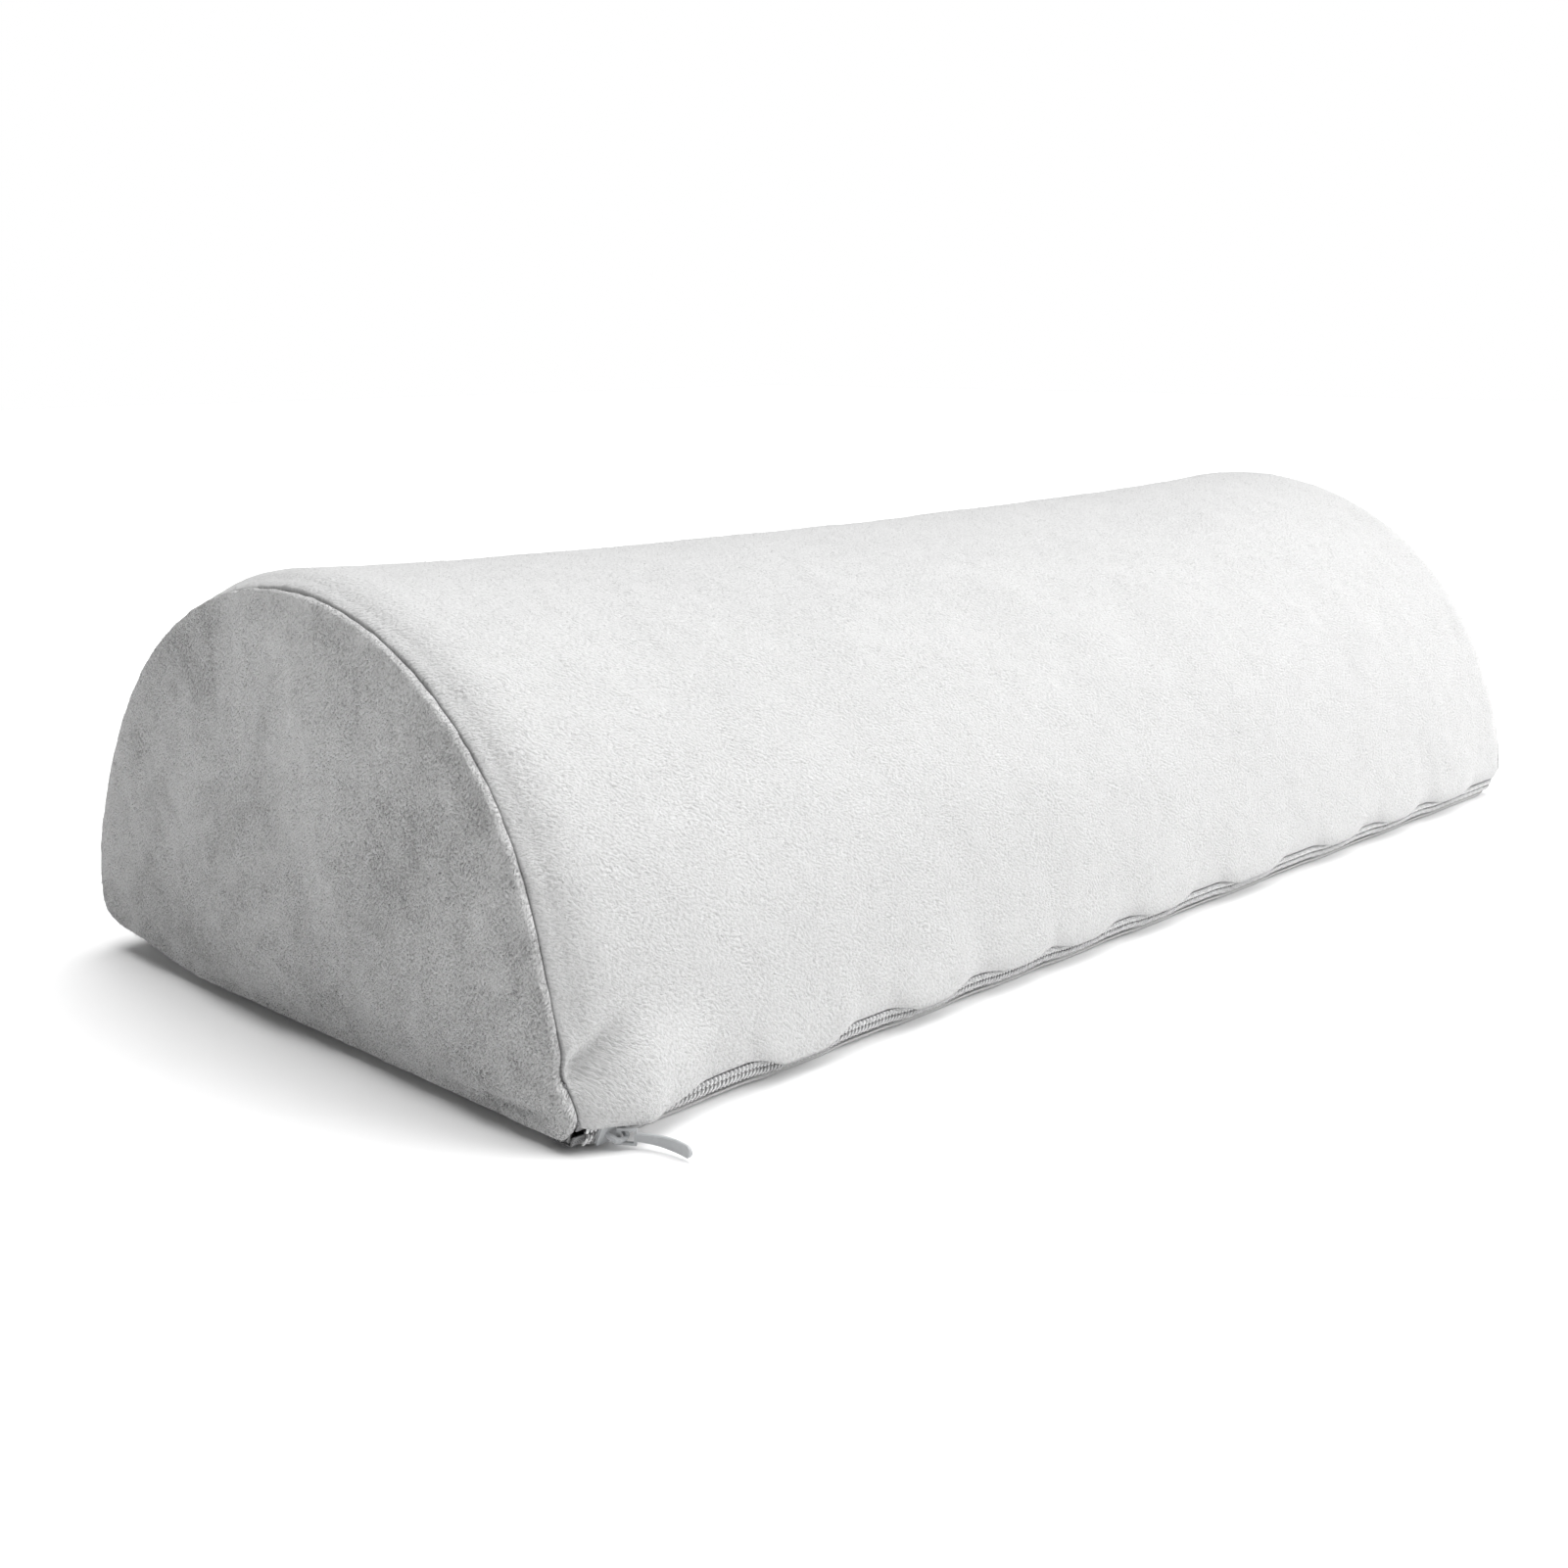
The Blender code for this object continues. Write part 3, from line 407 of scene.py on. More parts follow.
def relax(form):
    """A cloth simulation of a coarse closed cover, blown against its seams. Its movement is kept as a field."""
    rows, cols = 61, 97
    rings = 9
    xs = np.linspace(-form.half, form.half, rows)
    t = np.linspace(0, 1, cols)
    gx, gt = np.meshgrid(xs, t, indexing="ij")
    verts, _ = form.shape(gx, gt, form.sizes.start_inset)
    verts = verts.reshape(-1, 3)
    quads = [grid_faces(rows, cols, close_cols=True)]
    caps, tris = [verts], []
    for side, row in ((-1, 0), (1, rows - 1)):
        rim = verts[row * cols:(row + 1) * cols]
        middle = np.array([rim[0, 0], 0.0, 0.045])
        ring_ids = [np.arange(row * cols, (row + 1) * cols)]
        for k in range(1, rings):
            f = 1 - k / rings
            ring_ids.append(np.arange(cols) + sum(len(c) for c in caps))
            caps.append(middle + (rim - middle) * f)
        hub = sum(len(c) for c in caps)
        caps.append(middle[None])
        for a, b in zip(ring_ids[:-1], ring_ids[1:]):
            q = np.stack([a, np.roll(a, -1), np.roll(b, -1), b], 1)
            quads.append(q if side > 0 else q[:, ::-1])
        a = ring_ids[-1]
        f = np.stack([a, np.roll(a, -1), np.full(cols, hub)], 1)
        tris.append(f if side > 0 else f[:, ::-1])
    start = np.concatenate(caps)
    obj = piece("cloth_cage", start, np.concatenate(quads), np.concatenate(tris))
    bpy.context.view_layer.objects.active = obj
    bpy.ops.object.select_all(action="DESELECT")
    obj.select_set(True)
    bpy.ops.object.mode_set(mode="EDIT")
    bpy.ops.mesh.select_all(action="SELECT")
    bpy.ops.mesh.normals_make_consistent(inside=False)
    bpy.ops.object.mode_set(mode="OBJECT")
    hold = np.zeros(len(start))
    wrap = rows * cols
    low = 1 - smooth((start[:, 2] - 0.001) / 0.008)
    hold = np.maximum(hold, low)
    gt_flat = gt.ravel()
    near_lip = np.maximum(1 - smooth((1 - gt_flat) * form.total / 0.045), 1 - smooth(gt_flat * form.total / 0.01))
    hold[:wrap] = np.maximum(hold[:wrap], near_lip)
    seam = 1 - smooth((form.half - np.abs(gx.ravel())) / 0.004)
    hold[:wrap] = np.maximum(hold[:wrap], seam)
    group = obj.vertex_groups.new(name="held")
    for level in np.unique(np.round(hold, 2)):
        ids = np.nonzero(np.round(hold, 2) == level)[0]
        if level > 0:
            group.add([int(i) for i in ids], float(level), "REPLACE")
    cloth = obj.modifiers.new("cloth", "CLOTH")
    c = cloth.settings
    c.quality = 6
    c.mass = 0.25
    c.tension_stiffness = c.compression_stiffness = 22
    c.shear_stiffness = 8
    c.bending_stiffness = 3.0
    c.tension_damping = c.compression_damping = 12
    c.air_damping = 3
    c.use_pressure = True
    c.uniform_pressure_force = form.sizes.pressure
    c.vertex_group_mass = "held"
    c.pin_stiffness = 6
    c.shrink_min = -form.sizes.slack
    c.effector_weights.gravity = 0.0
    scene = bpy.context.scene
    scene.use_gravity = False
    cloth.point_cache.frame_start, cloth.point_cache.frame_end = 1, 20
    for frame_number in range(1, 21):
        scene.frame_set(frame_number)
        bpy.context.view_layer.update()
    evaluated = obj.evaluated_get(bpy.context.evaluated_depsgraph_get())
    moved = np.empty(len(start) * 3, np.float32)
    evaluated.data.vertices.foreach_get("co", moved)
    moved = moved.reshape(-1, 3)
    field = (moved - start)[:wrap].reshape(rows, cols, 3)
    size = np.linalg.norm(field, axis=2, keepdims=True)
    field = field * np.minimum(1, form.sizes.cap / np.maximum(size, 1e-9))
    bpy.data.objects.remove(obj)
    scene.frame_set(1)
    for _ in range(2):
        ahead, behind = np.roll(field, 1, 0), np.roll(field, -1, 0)
        ahead[0], behind[-1] = field[0], field[-1]
        field = 0.5 * field + 0.25 * (ahead + behind)
        ahead, behind = np.roll(field, 1, 1), np.roll(field, -1, 1)
        ahead[:, 0], behind[:, -1] = field[:, 0], field[:, -1]
        field = 0.5 * field + 0.25 * (ahead + behind)
    form.field = field


def carried(form, x, t):
    """The simulated movement at the points of a fine grid, from its row and column stations."""
    if form.field is None:
        return np.zeros((len(x), len(t), 3))
    wr = cubic((np.clip(x, -form.half, form.half) + form.half) / (2 * form.half), form.field.shape[0])
    wc = cubic(t, form.field.shape[1])
    return np.einsum("ri,ijk,cj->rck", wr, form.field, wc)


# ---------------------------------------------------------------- materials

def node_tree(name):
    mat = bpy.data.materials.new(name)
    mat.use_nodes = True
    tree = mat.node_tree
    return mat, tree, tree.nodes["Principled BSDF"]


def math_node(tree, kind, a, b=None):
    node = tree.nodes.new("ShaderNodeMath")
    node.operation = kind
    for k, value in enumerate((a, b)):
        if value is None:
            continue
        if isinstance(value, (int, float)):
            node.inputs[k].default_value = value
        else:
            tree.links.new(value, node.inputs[k])
    return node.outputs[0]


def noise_node(tree, vector, scale, detail=2.0, rough=0.5, distort=0.0):
    node = tree.nodes.new("ShaderNodeTexNoise")
    node.inputs["Scale"].default_value = scale
    node.inputs["Detail"].default_value = detail
    node.inputs["Roughness"].default_value = rough
    node.inputs["Distortion"].default_value = distort
    tree.links.new(vector, node.inputs["Vector"])
    return node.outputs["Fac"]


def mapping(tree, source, scale=(1, 1, 1), turn=(0, 0, 0)):
    node = tree.nodes.new("ShaderNodeMapping")
    node.inputs["Scale"].default_value = scale
    node.inputs["Rotation"].default_value = turn
    tree.links.new(source, node.inputs["Vector"])
    return node.outputs["Vector"]


def ramp(tree, fac, stops):
    node = tree.nodes.new("ShaderNodeValToRGB")
    while len(node.color_ramp.elements) > 1:
        node.color_ramp.elements.remove(node.color_ramp.elements[-1])
    for k, (pos, col) in enumerate(stops):
        e = node.color_ramp.elements[0] if k == 0 else node.color_ramp.elements.new(pos)
        e.position = pos
        e.color = (*col, 1)
    tree.links.new(fac, node.inputs["Fac"])
    return node.outputs["Color"]


def shades(colour, low, high):
    return tuple(c * low for c in colour), tuple(min(1.0, c * high) for c in colour)


def bump_node(tree, height, strength, distance, under=None):
    node = tree.nodes.new("ShaderNodeBump")
    node.inputs["Strength"].default_value = strength
    node.inputs["Distance"].default_value = distance
    tree.links.new(height, node.inputs["Height"])
    if under is not None:
        tree.links.new(under, node.inputs["Normal"])
    return node.outputs["Normal"]


def velour(name, colour, nap=1.0, lay=0.55, long=0.36, grain=1.0):
    """Short soft pile: tufts that lie over one way, clouds where the nap is brushed and a fine bump."""
    mat, tree, shader = node_tree(name)
    coords = tree.nodes.new("ShaderNodeTexCoord")
    place, flat = coords.outputs["Object"], coords.outputs["UV"]
    warp = tree.nodes.new("ShaderNodeTexNoise")
    warp.inputs["Scale"].default_value = 90
    tree.links.new(place, warp.inputs["Vector"])
    drift = tree.nodes.new("ShaderNodeVectorMath")
    drift.operation = "MULTIPLY_ADD"
    drift.inputs[1].default_value = (0.004, 0.004, 0)
    tree.links.new(warp.outputs["Color"], drift.inputs[0])
    tree.links.new(flat, drift.inputs[2])
    turned = mapping(tree, drift.outputs[0], (1, 1, 1), (0, 0, -lay))
    tilted = mapping(tree, turned, (long, 1, 1))
    tuft = noise_node(tree, tilted, 1750, 2.0, 0.5, 0.3)
    hair = noise_node(tree, tilted, 4200, 2.0, 0.6)
    cloud = noise_node(tree, mapping(tree, place, (1, 1, 0.8)), 26, 4.0, 0.55, 0.4)
    patch = noise_node(tree, place, 110, 3.0, 0.6, 0.8)
    mix = math_node(tree, "ADD", math_node(tree, "MULTIPLY", tuft, 0.62), math_node(tree, "MULTIPLY", hair, 0.38))
    for brushed, share in ((cloud, 0.40 * nap), (patch, 0.25 * nap)):
        change = math_node(tree, "MULTIPLY", math_node(tree, "SUBTRACT", brushed, 0.5), share)
        mix = math_node(tree, "ADD", mix, change)
    low, high = shades(colour, 1 - 0.38 * grain, 1 + 0.16 * grain)
    tree.links.new(ramp(tree, mix, ((0.30, low), (0.50, colour), (0.68, high))), shader.inputs["Base Color"])
    rough = math_node(tree, "ADD", math_node(tree, "MULTIPLY", tuft, 0.2), 0.78)
    tree.links.new(rough, shader.inputs["Roughness"])
    shader.inputs["Specular IOR Level"].default_value = 0.15
    shader.inputs["Sheen Weight"].default_value = 0.3
    shader.inputs["Sheen Roughness"].default_value = 0.45
    shader.inputs["Sheen Tint"].default_value = (1, 1, 1, 1)
    coarse = bump_node(tree, tuft, 0.7 * grain, 0.0010)
    tree.links.new(bump_node(tree, hair, 0.5 * grain, 0.0004, coarse), shader.inputs["Normal"])
    return mat


def woven(name, colour):
    """Herringbone tape: ribs that lean one way and then the other."""
    mat, tree, shader = node_tree(name)
    place = tree.nodes.new("ShaderNodeTexCoord").outputs["UV"]
    split = tree.nodes.new("ShaderNodeSeparateXYZ")
    tree.links.new(place, split.inputs[0])
    along, across = split.outputs["X"], split.outputs["Y"]
    zig = math_node(tree, "PINGPONG", across, 0.0011)
    lean = math_node(tree, "ADD", along, zig)
    rib = math_node(tree, "SINE", math_node(tree, "MULTIPLY", lean, 2 * math.pi / 0.0006))
    weft = math_node(tree, "SINE", math_node(tree, "MULTIPLY", across, 2 * math.pi / 0.00045))
    both = math_node(tree, "ADD", math_node(tree, "MULTIPLY", rib, 0.32), math_node(tree, "MULTIPLY", weft, 0.18))
    both = math_node(tree, "ADD", both, 0.5)
    low, high = shades(colour, 0.72, 1.1)
    tree.links.new(ramp(tree, both, ((0.1, low), (0.9, high))), shader.inputs["Base Color"])
    shader.inputs["Roughness"].default_value = 0.85
    shader.inputs["Sheen Weight"].default_value = 0.2
    tree.links.new(bump_node(tree, both, 0.7, 0.00025), shader.inputs["Normal"])
    return mat


def nylon(name, colour):
    """Drawn nylon strand: satin, with a light draw grain, and painted shade on the heads in the chain's middle."""
    mat, tree, shader = node_tree(name)
    coords = tree.nodes.new("ShaderNodeTexCoord")
    place = coords.outputs["Object"]
    split = tree.nodes.new("ShaderNodeSeparateXYZ")
    tree.links.new(coords.outputs["UV"], split.inputs[0])
    grain = noise_node(tree, place, 1400, 3.0)
    # painted shade: the map's second value marks the heads in the chain's middle, and the ramp darkens them
    # towards 0.22 of the coil's colour
    tone = math_node(tree, "SUBTRACT", grain, math_node(tree, "MULTIPLY", split.outputs["Y"], 0.6))
    head = shades(colour, 0.22, 1)[0]
    low, high = shades(colour, 0.86, 1.08)
    shade = ramp(tree, tone, ((0.02, head), (0.3, low), (0.7, high)))
    tree.links.new(shade, shader.inputs["Base Color"])
    rough = math_node(tree, "ADD", math_node(tree, "MULTIPLY", grain, 0.25), 0.3)
    tree.links.new(rough, shader.inputs["Roughness"])
    tree.links.new(bump_node(tree, grain, 0.2, 0.0001), shader.inputs["Normal"])
    return mat


def twist(name, colour):
    """Twisted sewing thread."""
    mat, tree, shader = node_tree(name)
    place = tree.nodes.new("ShaderNodeTexCoord").outputs["Object"]
    wave = tree.nodes.new("ShaderNodeTexWave")
    wave.bands_direction = "DIAGONAL"
    wave.inputs["Scale"].default_value = 700
    wave.inputs["Distortion"].default_value = 1.2
    tree.links.new(place, wave.inputs["Vector"])
    low, high = shades(colour, 0.74, 1.12)
    tree.links.new(ramp(tree, wave.outputs["Fac"], ((0.1, low), (0.9, high))), shader.inputs["Base Color"])
    shader.inputs["Roughness"].default_value = 0.6
    shader.inputs["Sheen Weight"].default_value = 0.3
    tree.links.new(bump_node(tree, wave.outputs["Fac"], 0.6, 0.00012), shader.inputs["Normal"])
    return mat


def enamelled(name, colour):
    """Sprayed satin paint on die-cast metal: fine orange peel and rubbed patches."""
    mat, tree, shader = node_tree(name)
    place = tree.nodes.new("ShaderNodeTexCoord").outputs["Object"]
    peel = noise_node(tree, place, 900, 2.0)
    rub = noise_node(tree, place, 160, 5.0, 0.7, 1.0)
    low, high = shades(colour, 0.9, 1.07)
    tree.links.new(ramp(tree, rub, ((0.35, low), (0.65, high))), shader.inputs["Base Color"])
    tree.links.new(math_node(tree, "ADD", math_node(tree, "MULTIPLY", rub, 0.3), 0.24), shader.inputs["Roughness"])
    shader.inputs["Coat Weight"].default_value = 0.25
    shader.inputs["Coat Roughness"].default_value = 0.3
    tree.links.new(bump_node(tree, peel, 0.12, 0.0001), shader.inputs["Normal"])
    return mat


def open_cells(name, colour):
    """Cut foam: open cells with yellowed walls."""
    mat, tree, shader = node_tree(name)
    place = tree.nodes.new("ShaderNodeTexCoord").outputs["Object"]
    cells = tree.nodes.new("ShaderNodeTexVoronoi")
    cells.inputs["Scale"].default_value = 900
    tree.links.new(place, cells.inputs["Vector"])
    tone = noise_node(tree, place, 30, 3.0)
    mix = math_node(tree, "ADD", math_node(tree, "MULTIPLY", cells.outputs["Distance"], 0.6),
                    math_node(tree, "MULTIPLY", tone, 0.4))
    low, high = shades(colour, 0.7, 1.08)
    tree.links.new(ramp(tree, mix, ((0.2, low), (0.7, high))), shader.inputs["Base Color"])
    shader.inputs["Roughness"].default_value = 0.95
    tree.links.new(bump_node(tree, cells.outputs["Distance"], 0.8, 0.0006), shader.inputs["Normal"])
    return mat


def plain_floor(name, colour):
    mat, tree, shader = node_tree(name)
    place = tree.nodes.new("ShaderNodeTexCoord").outputs["Object"]
    tone = noise_node(tree, place, 3.0, 2.0)
    low, high = shades(colour, 0.995, 1.0)
    tree.links.new(ramp(tree, tone, ((0.3, low), (0.7, high))), shader.inputs["Base Color"])
    shader.inputs["Roughness"].default_value = 0.9
    shader.inputs["Specular IOR Level"].default_value = 0.1
    return mat


def coat(obj, material):
    obj.data.materials.clear()
    obj.data.materials.append(material)


# ---------------------------------------------------------------- pieces

def row_stations(form, step):
    """Row positions along x with their inset: the folded-in ends, the shoulders and the even run between."""
    near = np.array([0, .15, .4, .8, 1.3, 1.9, 2.6, 3.4, 4.3, 5.3, 6.4, 7.6, 8.9, 10.2, 11.6, 13.0]) * MM
    middle = np.linspace(-form.half + 14.2 * MM, form.half - 14.2 * MM, int((2 * form.half - 28.4 * MM) / step))
    xs = np.concatenate([-form.half + near, middle, (form.half - near)[::-1]])
    tuck = np.array([6.0, 4.5, 3.0, 1.8, 0.9, 0.35]) * MM
    left = np.full(len(tuck), -form.half - 0.2 * MM)
    xs[0] -= 0.15 * MM
    xs[-1] += 0.15 * MM
    xs = np.concatenate([left + 0.5 * MM * (tuck / tuck[0]), xs, (-left - 0.5 * MM * (tuck / tuck[0]))[::-1]])
    inset = np.concatenate([tuck, np.zeros(len(near) * 2 + len(middle)), tuck[::-1]])
    return xs, inset


def cover_points(form, xs, t, inset):
    """The finished cover's points over a grid of stations, with fine unevenness, and the outward directions."""
    gx, gt = np.meshgrid(xs, t, indexing="ij")
    gi = np.broadcast_to(inset[:, None], gx.shape)
    q, out = form.shape(gx, gt, gi)
    q = q + carried(form, xs, t)
    flat = q.reshape(-1, 3)
    o3 = np.stack([np.zeros(out.shape[:2]), out[..., 0], out[..., 1]], -1).reshape(-1, 3)
    end = np.clip(form.half - np.abs(gx.ravel()), 0, None)
    calm = smooth((flat[:, 2] + 0.0005) / 0.004) * 0.9 + 0.1
    lip = np.minimum((1 - gt.ravel()), gt.ravel()) * form.total
    calm = calm * (0.25 + 0.75 * smooth(lip / (6 * MM)))
    fine = (form.lumps(flat) + form.puckers(flat, end, gt.ravel())) * calm
    flat = flat + o3 * fine[:, None]
    flat[:, 2] = np.maximum(flat[:, 2], 0.0)
    return flat.reshape(len(xs), len(t), 3), o3.reshape(len(xs), len(t), 3)


def build_wrap(form, material):
    step = form.sizes.mesh_step
    xs, inset = row_stations(form, step)
    t = np.linspace(0, 1, int(form.total / step))
    body, out = cover_points(form, xs, t, inset)
    rows = len(xs)
    # the lips turn round a soft fold and run back over the tapes, inside
    a = np.linspace(0, np.pi, 7)[1:]
    turn_u = 0.25 * MM * np.sin(a)
    turn_n = (CLOTH_LEVEL + TAPE_LEVEL) / 2 + (CLOTH_LEVEL - TAPE_LEVEL) / 2 * np.cos(a)
    run = np.array([1, 3, 5.5, 8.0]) * MM
    low = np.concatenate([zip_point(turn_u - LIP, turn_n), under_point(LIP + run * 0.8, TAPE_LEVEL)])[::-1]
    up = np.concatenate([zip_point(LIP - turn_u, turn_n), over_point(LIP + run, TAPE_LEVEL)])

    def turned(edge, plain_edge, line, back):
        """The inner fold hangs from the moved lip, runs back level with it and then settles onto the tape."""
        n = len(line)
        k = np.arange(n)[::-1] if back else np.arange(n)
        drift = (edge - plain_edge)[:, 1:]
        up, out_by = drift @ ZIP_UP, drift @ ZIP_OUT
        keep_up, keep_out = 1 - smooth((k + 1) / 5), 1 - smooth((k - 3) / 5)
        pts = np.empty((len(edge), n, 3))
        pts[..., 0] = edge[:, None, 0]
        for c in (0, 1):
            pts[..., c + 1] = (line[None, :, c] + up[:, None] * keep_up[None] * ZIP_UP[c]
                               + out_by[:, None] * keep_out[None] * ZIP_OUT[c])
        pts[..., 1] += form.drawn_back(pts[..., 0], pts[..., 2]) * (0 if back else 1) * smooth((k - 4) / 3)[None]
        return pts

    plain_low, plain_up = (np.concatenate([xs[:, None], np.tile(zip_point(u, CLOTH_LEVEL), (rows, 1))], 1)
                           for u in (-LIP, LIP))
    inner_low = turned(body[:, 0], plain_low, low, True)
    inner_up = turned(body[:, -1], plain_up, up, False)
    whole = np.concatenate([inner_low, body, inner_up], 1)
    cols = whole.shape[1]
    arc = np.concatenate([np.linspace(-9, -0.3, len(low)) * MM, t * form.total,
                          form.total + np.linspace(0.3, 9, len(up)) * MM])
    uv = np.stack(np.meshgrid(xs, arc, indexing="ij"), -1).reshape(-1, 2)
    obj = piece("wrap_cover", whole.reshape(-1, 3), grid_faces(rows, cols, flip=True), uv=uv)
    coat(obj, material)
    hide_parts("wrap_panel")
    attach(obj, "cushion")
    form.cover = (body, out)
    return obj


def end_outline(form, side, count):
    """The end panel's rim (y, z), just inside the wrap's drawn-in edge, closed across the zip."""
    t = np.linspace(0, 1, count)
    x = np.full(count, side * form.half)
    q, _ = form.shape(x, t, 0.35 * MM)
    gap = np.linspace(0, 1, 9)[1:-1, None]
    bridge = q[-1] * (1 - gap) + q[0] * gap
    rim = np.concatenate([q, bridge])[:, 1:]
    return rim


def build_end(form, side, material):
    name, node = ("left", "left_end_panel") if side < 0 else ("right", "right_end_panel")
    step = form.sizes.mesh_step
    rim = end_outline(form, side, int(form.total / step))
    centre = np.array([0.0, 0.040])
    toward = centre - rim
    reach = np.hypot(*toward.T)
    toward = toward / reach[:, None]
    # rings from the inner allowance, round the rolled rim, then in over the face to the middle
    r = RIM_RADIUS
    rings = []
    for inset in (7.0, 5.0, 3.2, 1.8):
        rings.append((np.full(len(rim), inset * MM), -2 * r))
    for a in np.linspace(0, np.pi, 9)[:-1]:
        rings.append((np.full(len(rim), RIM_INSET * (1 - math.sin(a))), -r - r * math.cos(a)))
    for f in np.linspace(0, 1, int(0.055 / step))[:-1]:
        rings.append((RIM_INSET + (reach - RIM_INSET) * f, 0.0))
    pts, spots = [], []
    total = len(rim)
    swell_size = form.sizes.end_swell * (1.0 if side < 0 else 0.25)
    for inset, back in rings:
        yz = rim + toward * inset[:, None]
        round_share = np.clip(np.hypot(yz[:, 0] / (form.width / 2), yz[:, 1] / form.height), 0, 1)
        swell = swell_size * (1 - round_share ** 2.4) * smooth(yz[:, 1] / (22 * MM)) ** 0.7 * (back == 0.0)
        depth = np.full(total, form.end + back) + swell * smooth(inset / (6 * MM))
        pts.append(np.stack([side * depth, yz[:, 0], yz[:, 1]], 1))
        spots.append(yz + toward * back)
    grid = np.stack(pts)
    face_rows = np.array([1.0 if b == 0.0 else 0.0 for _, b in rings])
    flat = grid.reshape(-1, 3)
    on_face = np.repeat(face_rows, total)
    rim_out = np.concatenate([inset for inset, _ in rings])
    fade = smooth(rim_out / (14 * MM))
    broad = 1.5 * noise(flat + 3, 42 * MM, 21) + 0.7 * noise(flat + 5, 17 * MM, 22)
    fold = creases(flat) if side < 0 else 0.8 * noise(flat * np.array([1, 1, 0.35]), 24 * MM, 23)
    fine = 0.14 * noise(flat, 5.0 * MM, 24) + 0.11 * noise(flat, 2.6 * MM, 25)
    round_rim = np.tile(np.arange(total) * step, len(rings))
    ray = np.stack([round_rim, rim_out * 0.25, np.full(len(flat), 2.0 * side)], 1)
    gather = (1 - fade) * smooth(rim_out / (2 * MM)) * 0.45 * noise(ray, 8 * MM, 26)
    flat[:, 0] += side * on_face * ((broad + fold) * fade + fine + gather) * MM
    spot = np.stack([round_rim, np.full(len(flat), side * 3.0), np.zeros(len(flat))], 1)
    knots = 0.22 * MM * noise(spot, 3.1 * MM, 27) * np.exp(-(rim_out / (1.5 * MM)) ** 2)
    flat[:, 1:] += np.tile(toward, (len(rings), 1)) * knots[:, None]
    grid = flat.reshape(len(rings), total, 3)
    hub_x = grid[-1, :, 0].mean()
    hub = np.array([[hub_x, centre[0], centre[1]]])
    verts = np.concatenate([grid.reshape(-1, 3), hub])
    quads = grid_faces(len(rings), total, close_cols=True, flip=side > 0)
    last = (len(rings) - 1) * total + np.arange(total)
    fan = np.stack([last, np.roll(last, -1), np.full(total, len(verts) - 1)], 1)
    if side > 0:
        fan = fan[:, ::-1]
    uv = np.concatenate([np.concatenate(spots), [centre]])
    verts[:, 2] = np.maximum(verts[:, 2], 0.0)
    obj = piece(name + "_end_cover", verts, quads, fan, uv=uv)
    coat(obj, material)
    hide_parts(node)
    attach(obj, "cushion")
    form.ends[side] = grid
    return obj


def creases(p):
    """The left end's soft dents and the pressed fold lines in its cloth."""
    y, z = p[:, 1] / MM, p[:, 2] / MM
    out = -0.9 * np.exp(-((y - 71 + 0.12 * (z - 50)) / 3.0) ** 2) * np.exp(-((z - 50) / 17) ** 2)
    line = y + 51 - 0.14 * (z - 75)
    out += -0.8 * np.exp(-(line / 1.5) ** 2) * np.exp(-((z - 75) / 11) ** 4)
    out += -0.8 * np.exp(-((y + 74 + 0.05 * (z - 23)) / 1.8) ** 2) * np.exp(-((z - 23) / 9) ** 2)
    out += 0.8 * np.exp(-((y - 57) / 14) ** 2) * np.exp(-((z - 24) / 12) ** 2)
    out += -0.9 * np.exp(-((y + 30 + 0.3 * (z - 40)) / 12) ** 2) * np.exp(-((z - 30) / 30) ** 2)
    out += -1.3 * np.exp(-((z - 6.5 + 0.03 * (y + 75)) / 1.3) ** 2) * np.exp(-((y + 76) / 20) ** 4)
    out += 0.8 * np.exp(-((z - 11) / 3.5) ** 2) * np.exp(-((y + 76) / 20) ** 4)
    out += -0.8 * np.exp(-((y + 86 - 0.5 * (z - 14)) / 2.2) ** 2) * np.exp(-((z - 14) / 6) ** 2)
    return out


def build_pile(form, name, points, normals, count, seed, material, lie=1.0):
    """Loose pile tips that stand out of the cloth and soften its outline."""
    rng = np.random.default_rng(seed)
    rows, cols = points.shape[:2]
    span = np.linalg.norm(np.diff(points, axis=0), axis=2).sum(1)
    across = np.linalg.norm(np.diff(points, axis=1), axis=2)[:-1].sum(1)
    weight = span * across
    i = rng.choice(rows - 1, count, p=weight / weight.sum())
    j = rng.integers(0, cols - 1, count)
    a, b = rng.random((2, count, 1))
    p = (points[i, j] * (1 - a) * (1 - b) + points[i + 1, j] * a * (1 - b)
         + points[i, j + 1] * (1 - a) * b + points[i + 1, j + 1] * a * b)
    n = normals[i, j]
    keep = p[:, 2] > 0.004
    p, n, i, j = p[keep], n[keep], i[keep], j[keep]
    count = len(p)
    lay = lie * np.array([0.8, 0.0, -0.5]) + 0.5 * rng.standard_normal((count, 3))
    lay = lay - n * np.sum(lay * n, 1)[:, None]
    lay /= np.linalg.norm(lay, axis=1)[:, None] + 1e-9
    length = rng.uniform(0.6, 1.35, count)[:, None] * form.sizes.pile
    side = np.cross(n, lay)
    w = rng.uniform(0.05, 0.085, count)[:, None] * MM
    root = p - n * 0.1 * MM
    mid = root + (n * 0.62 + lay * 0.45) * length * 0.6
    tip = root + (n * 0.75 + lay * 1.0) * length
    tip[:, 2] = np.maximum(tip[:, 2], 0.0002)
    verts = np.stack([root - side * w, root + side * w, mid + side * w * 0.8, mid - side * w * 0.8, tip], 1)
    base = np.arange(count)[:, None] * 5
    quads = base + np.array([[0, 1, 2, 3]])
    tris = base + np.array([[3, 2, 4]])
    obj = piece(name, verts.reshape(-1, 3), quads, tris)
    coat(obj, material)
    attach(obj, "cushion")
    return obj


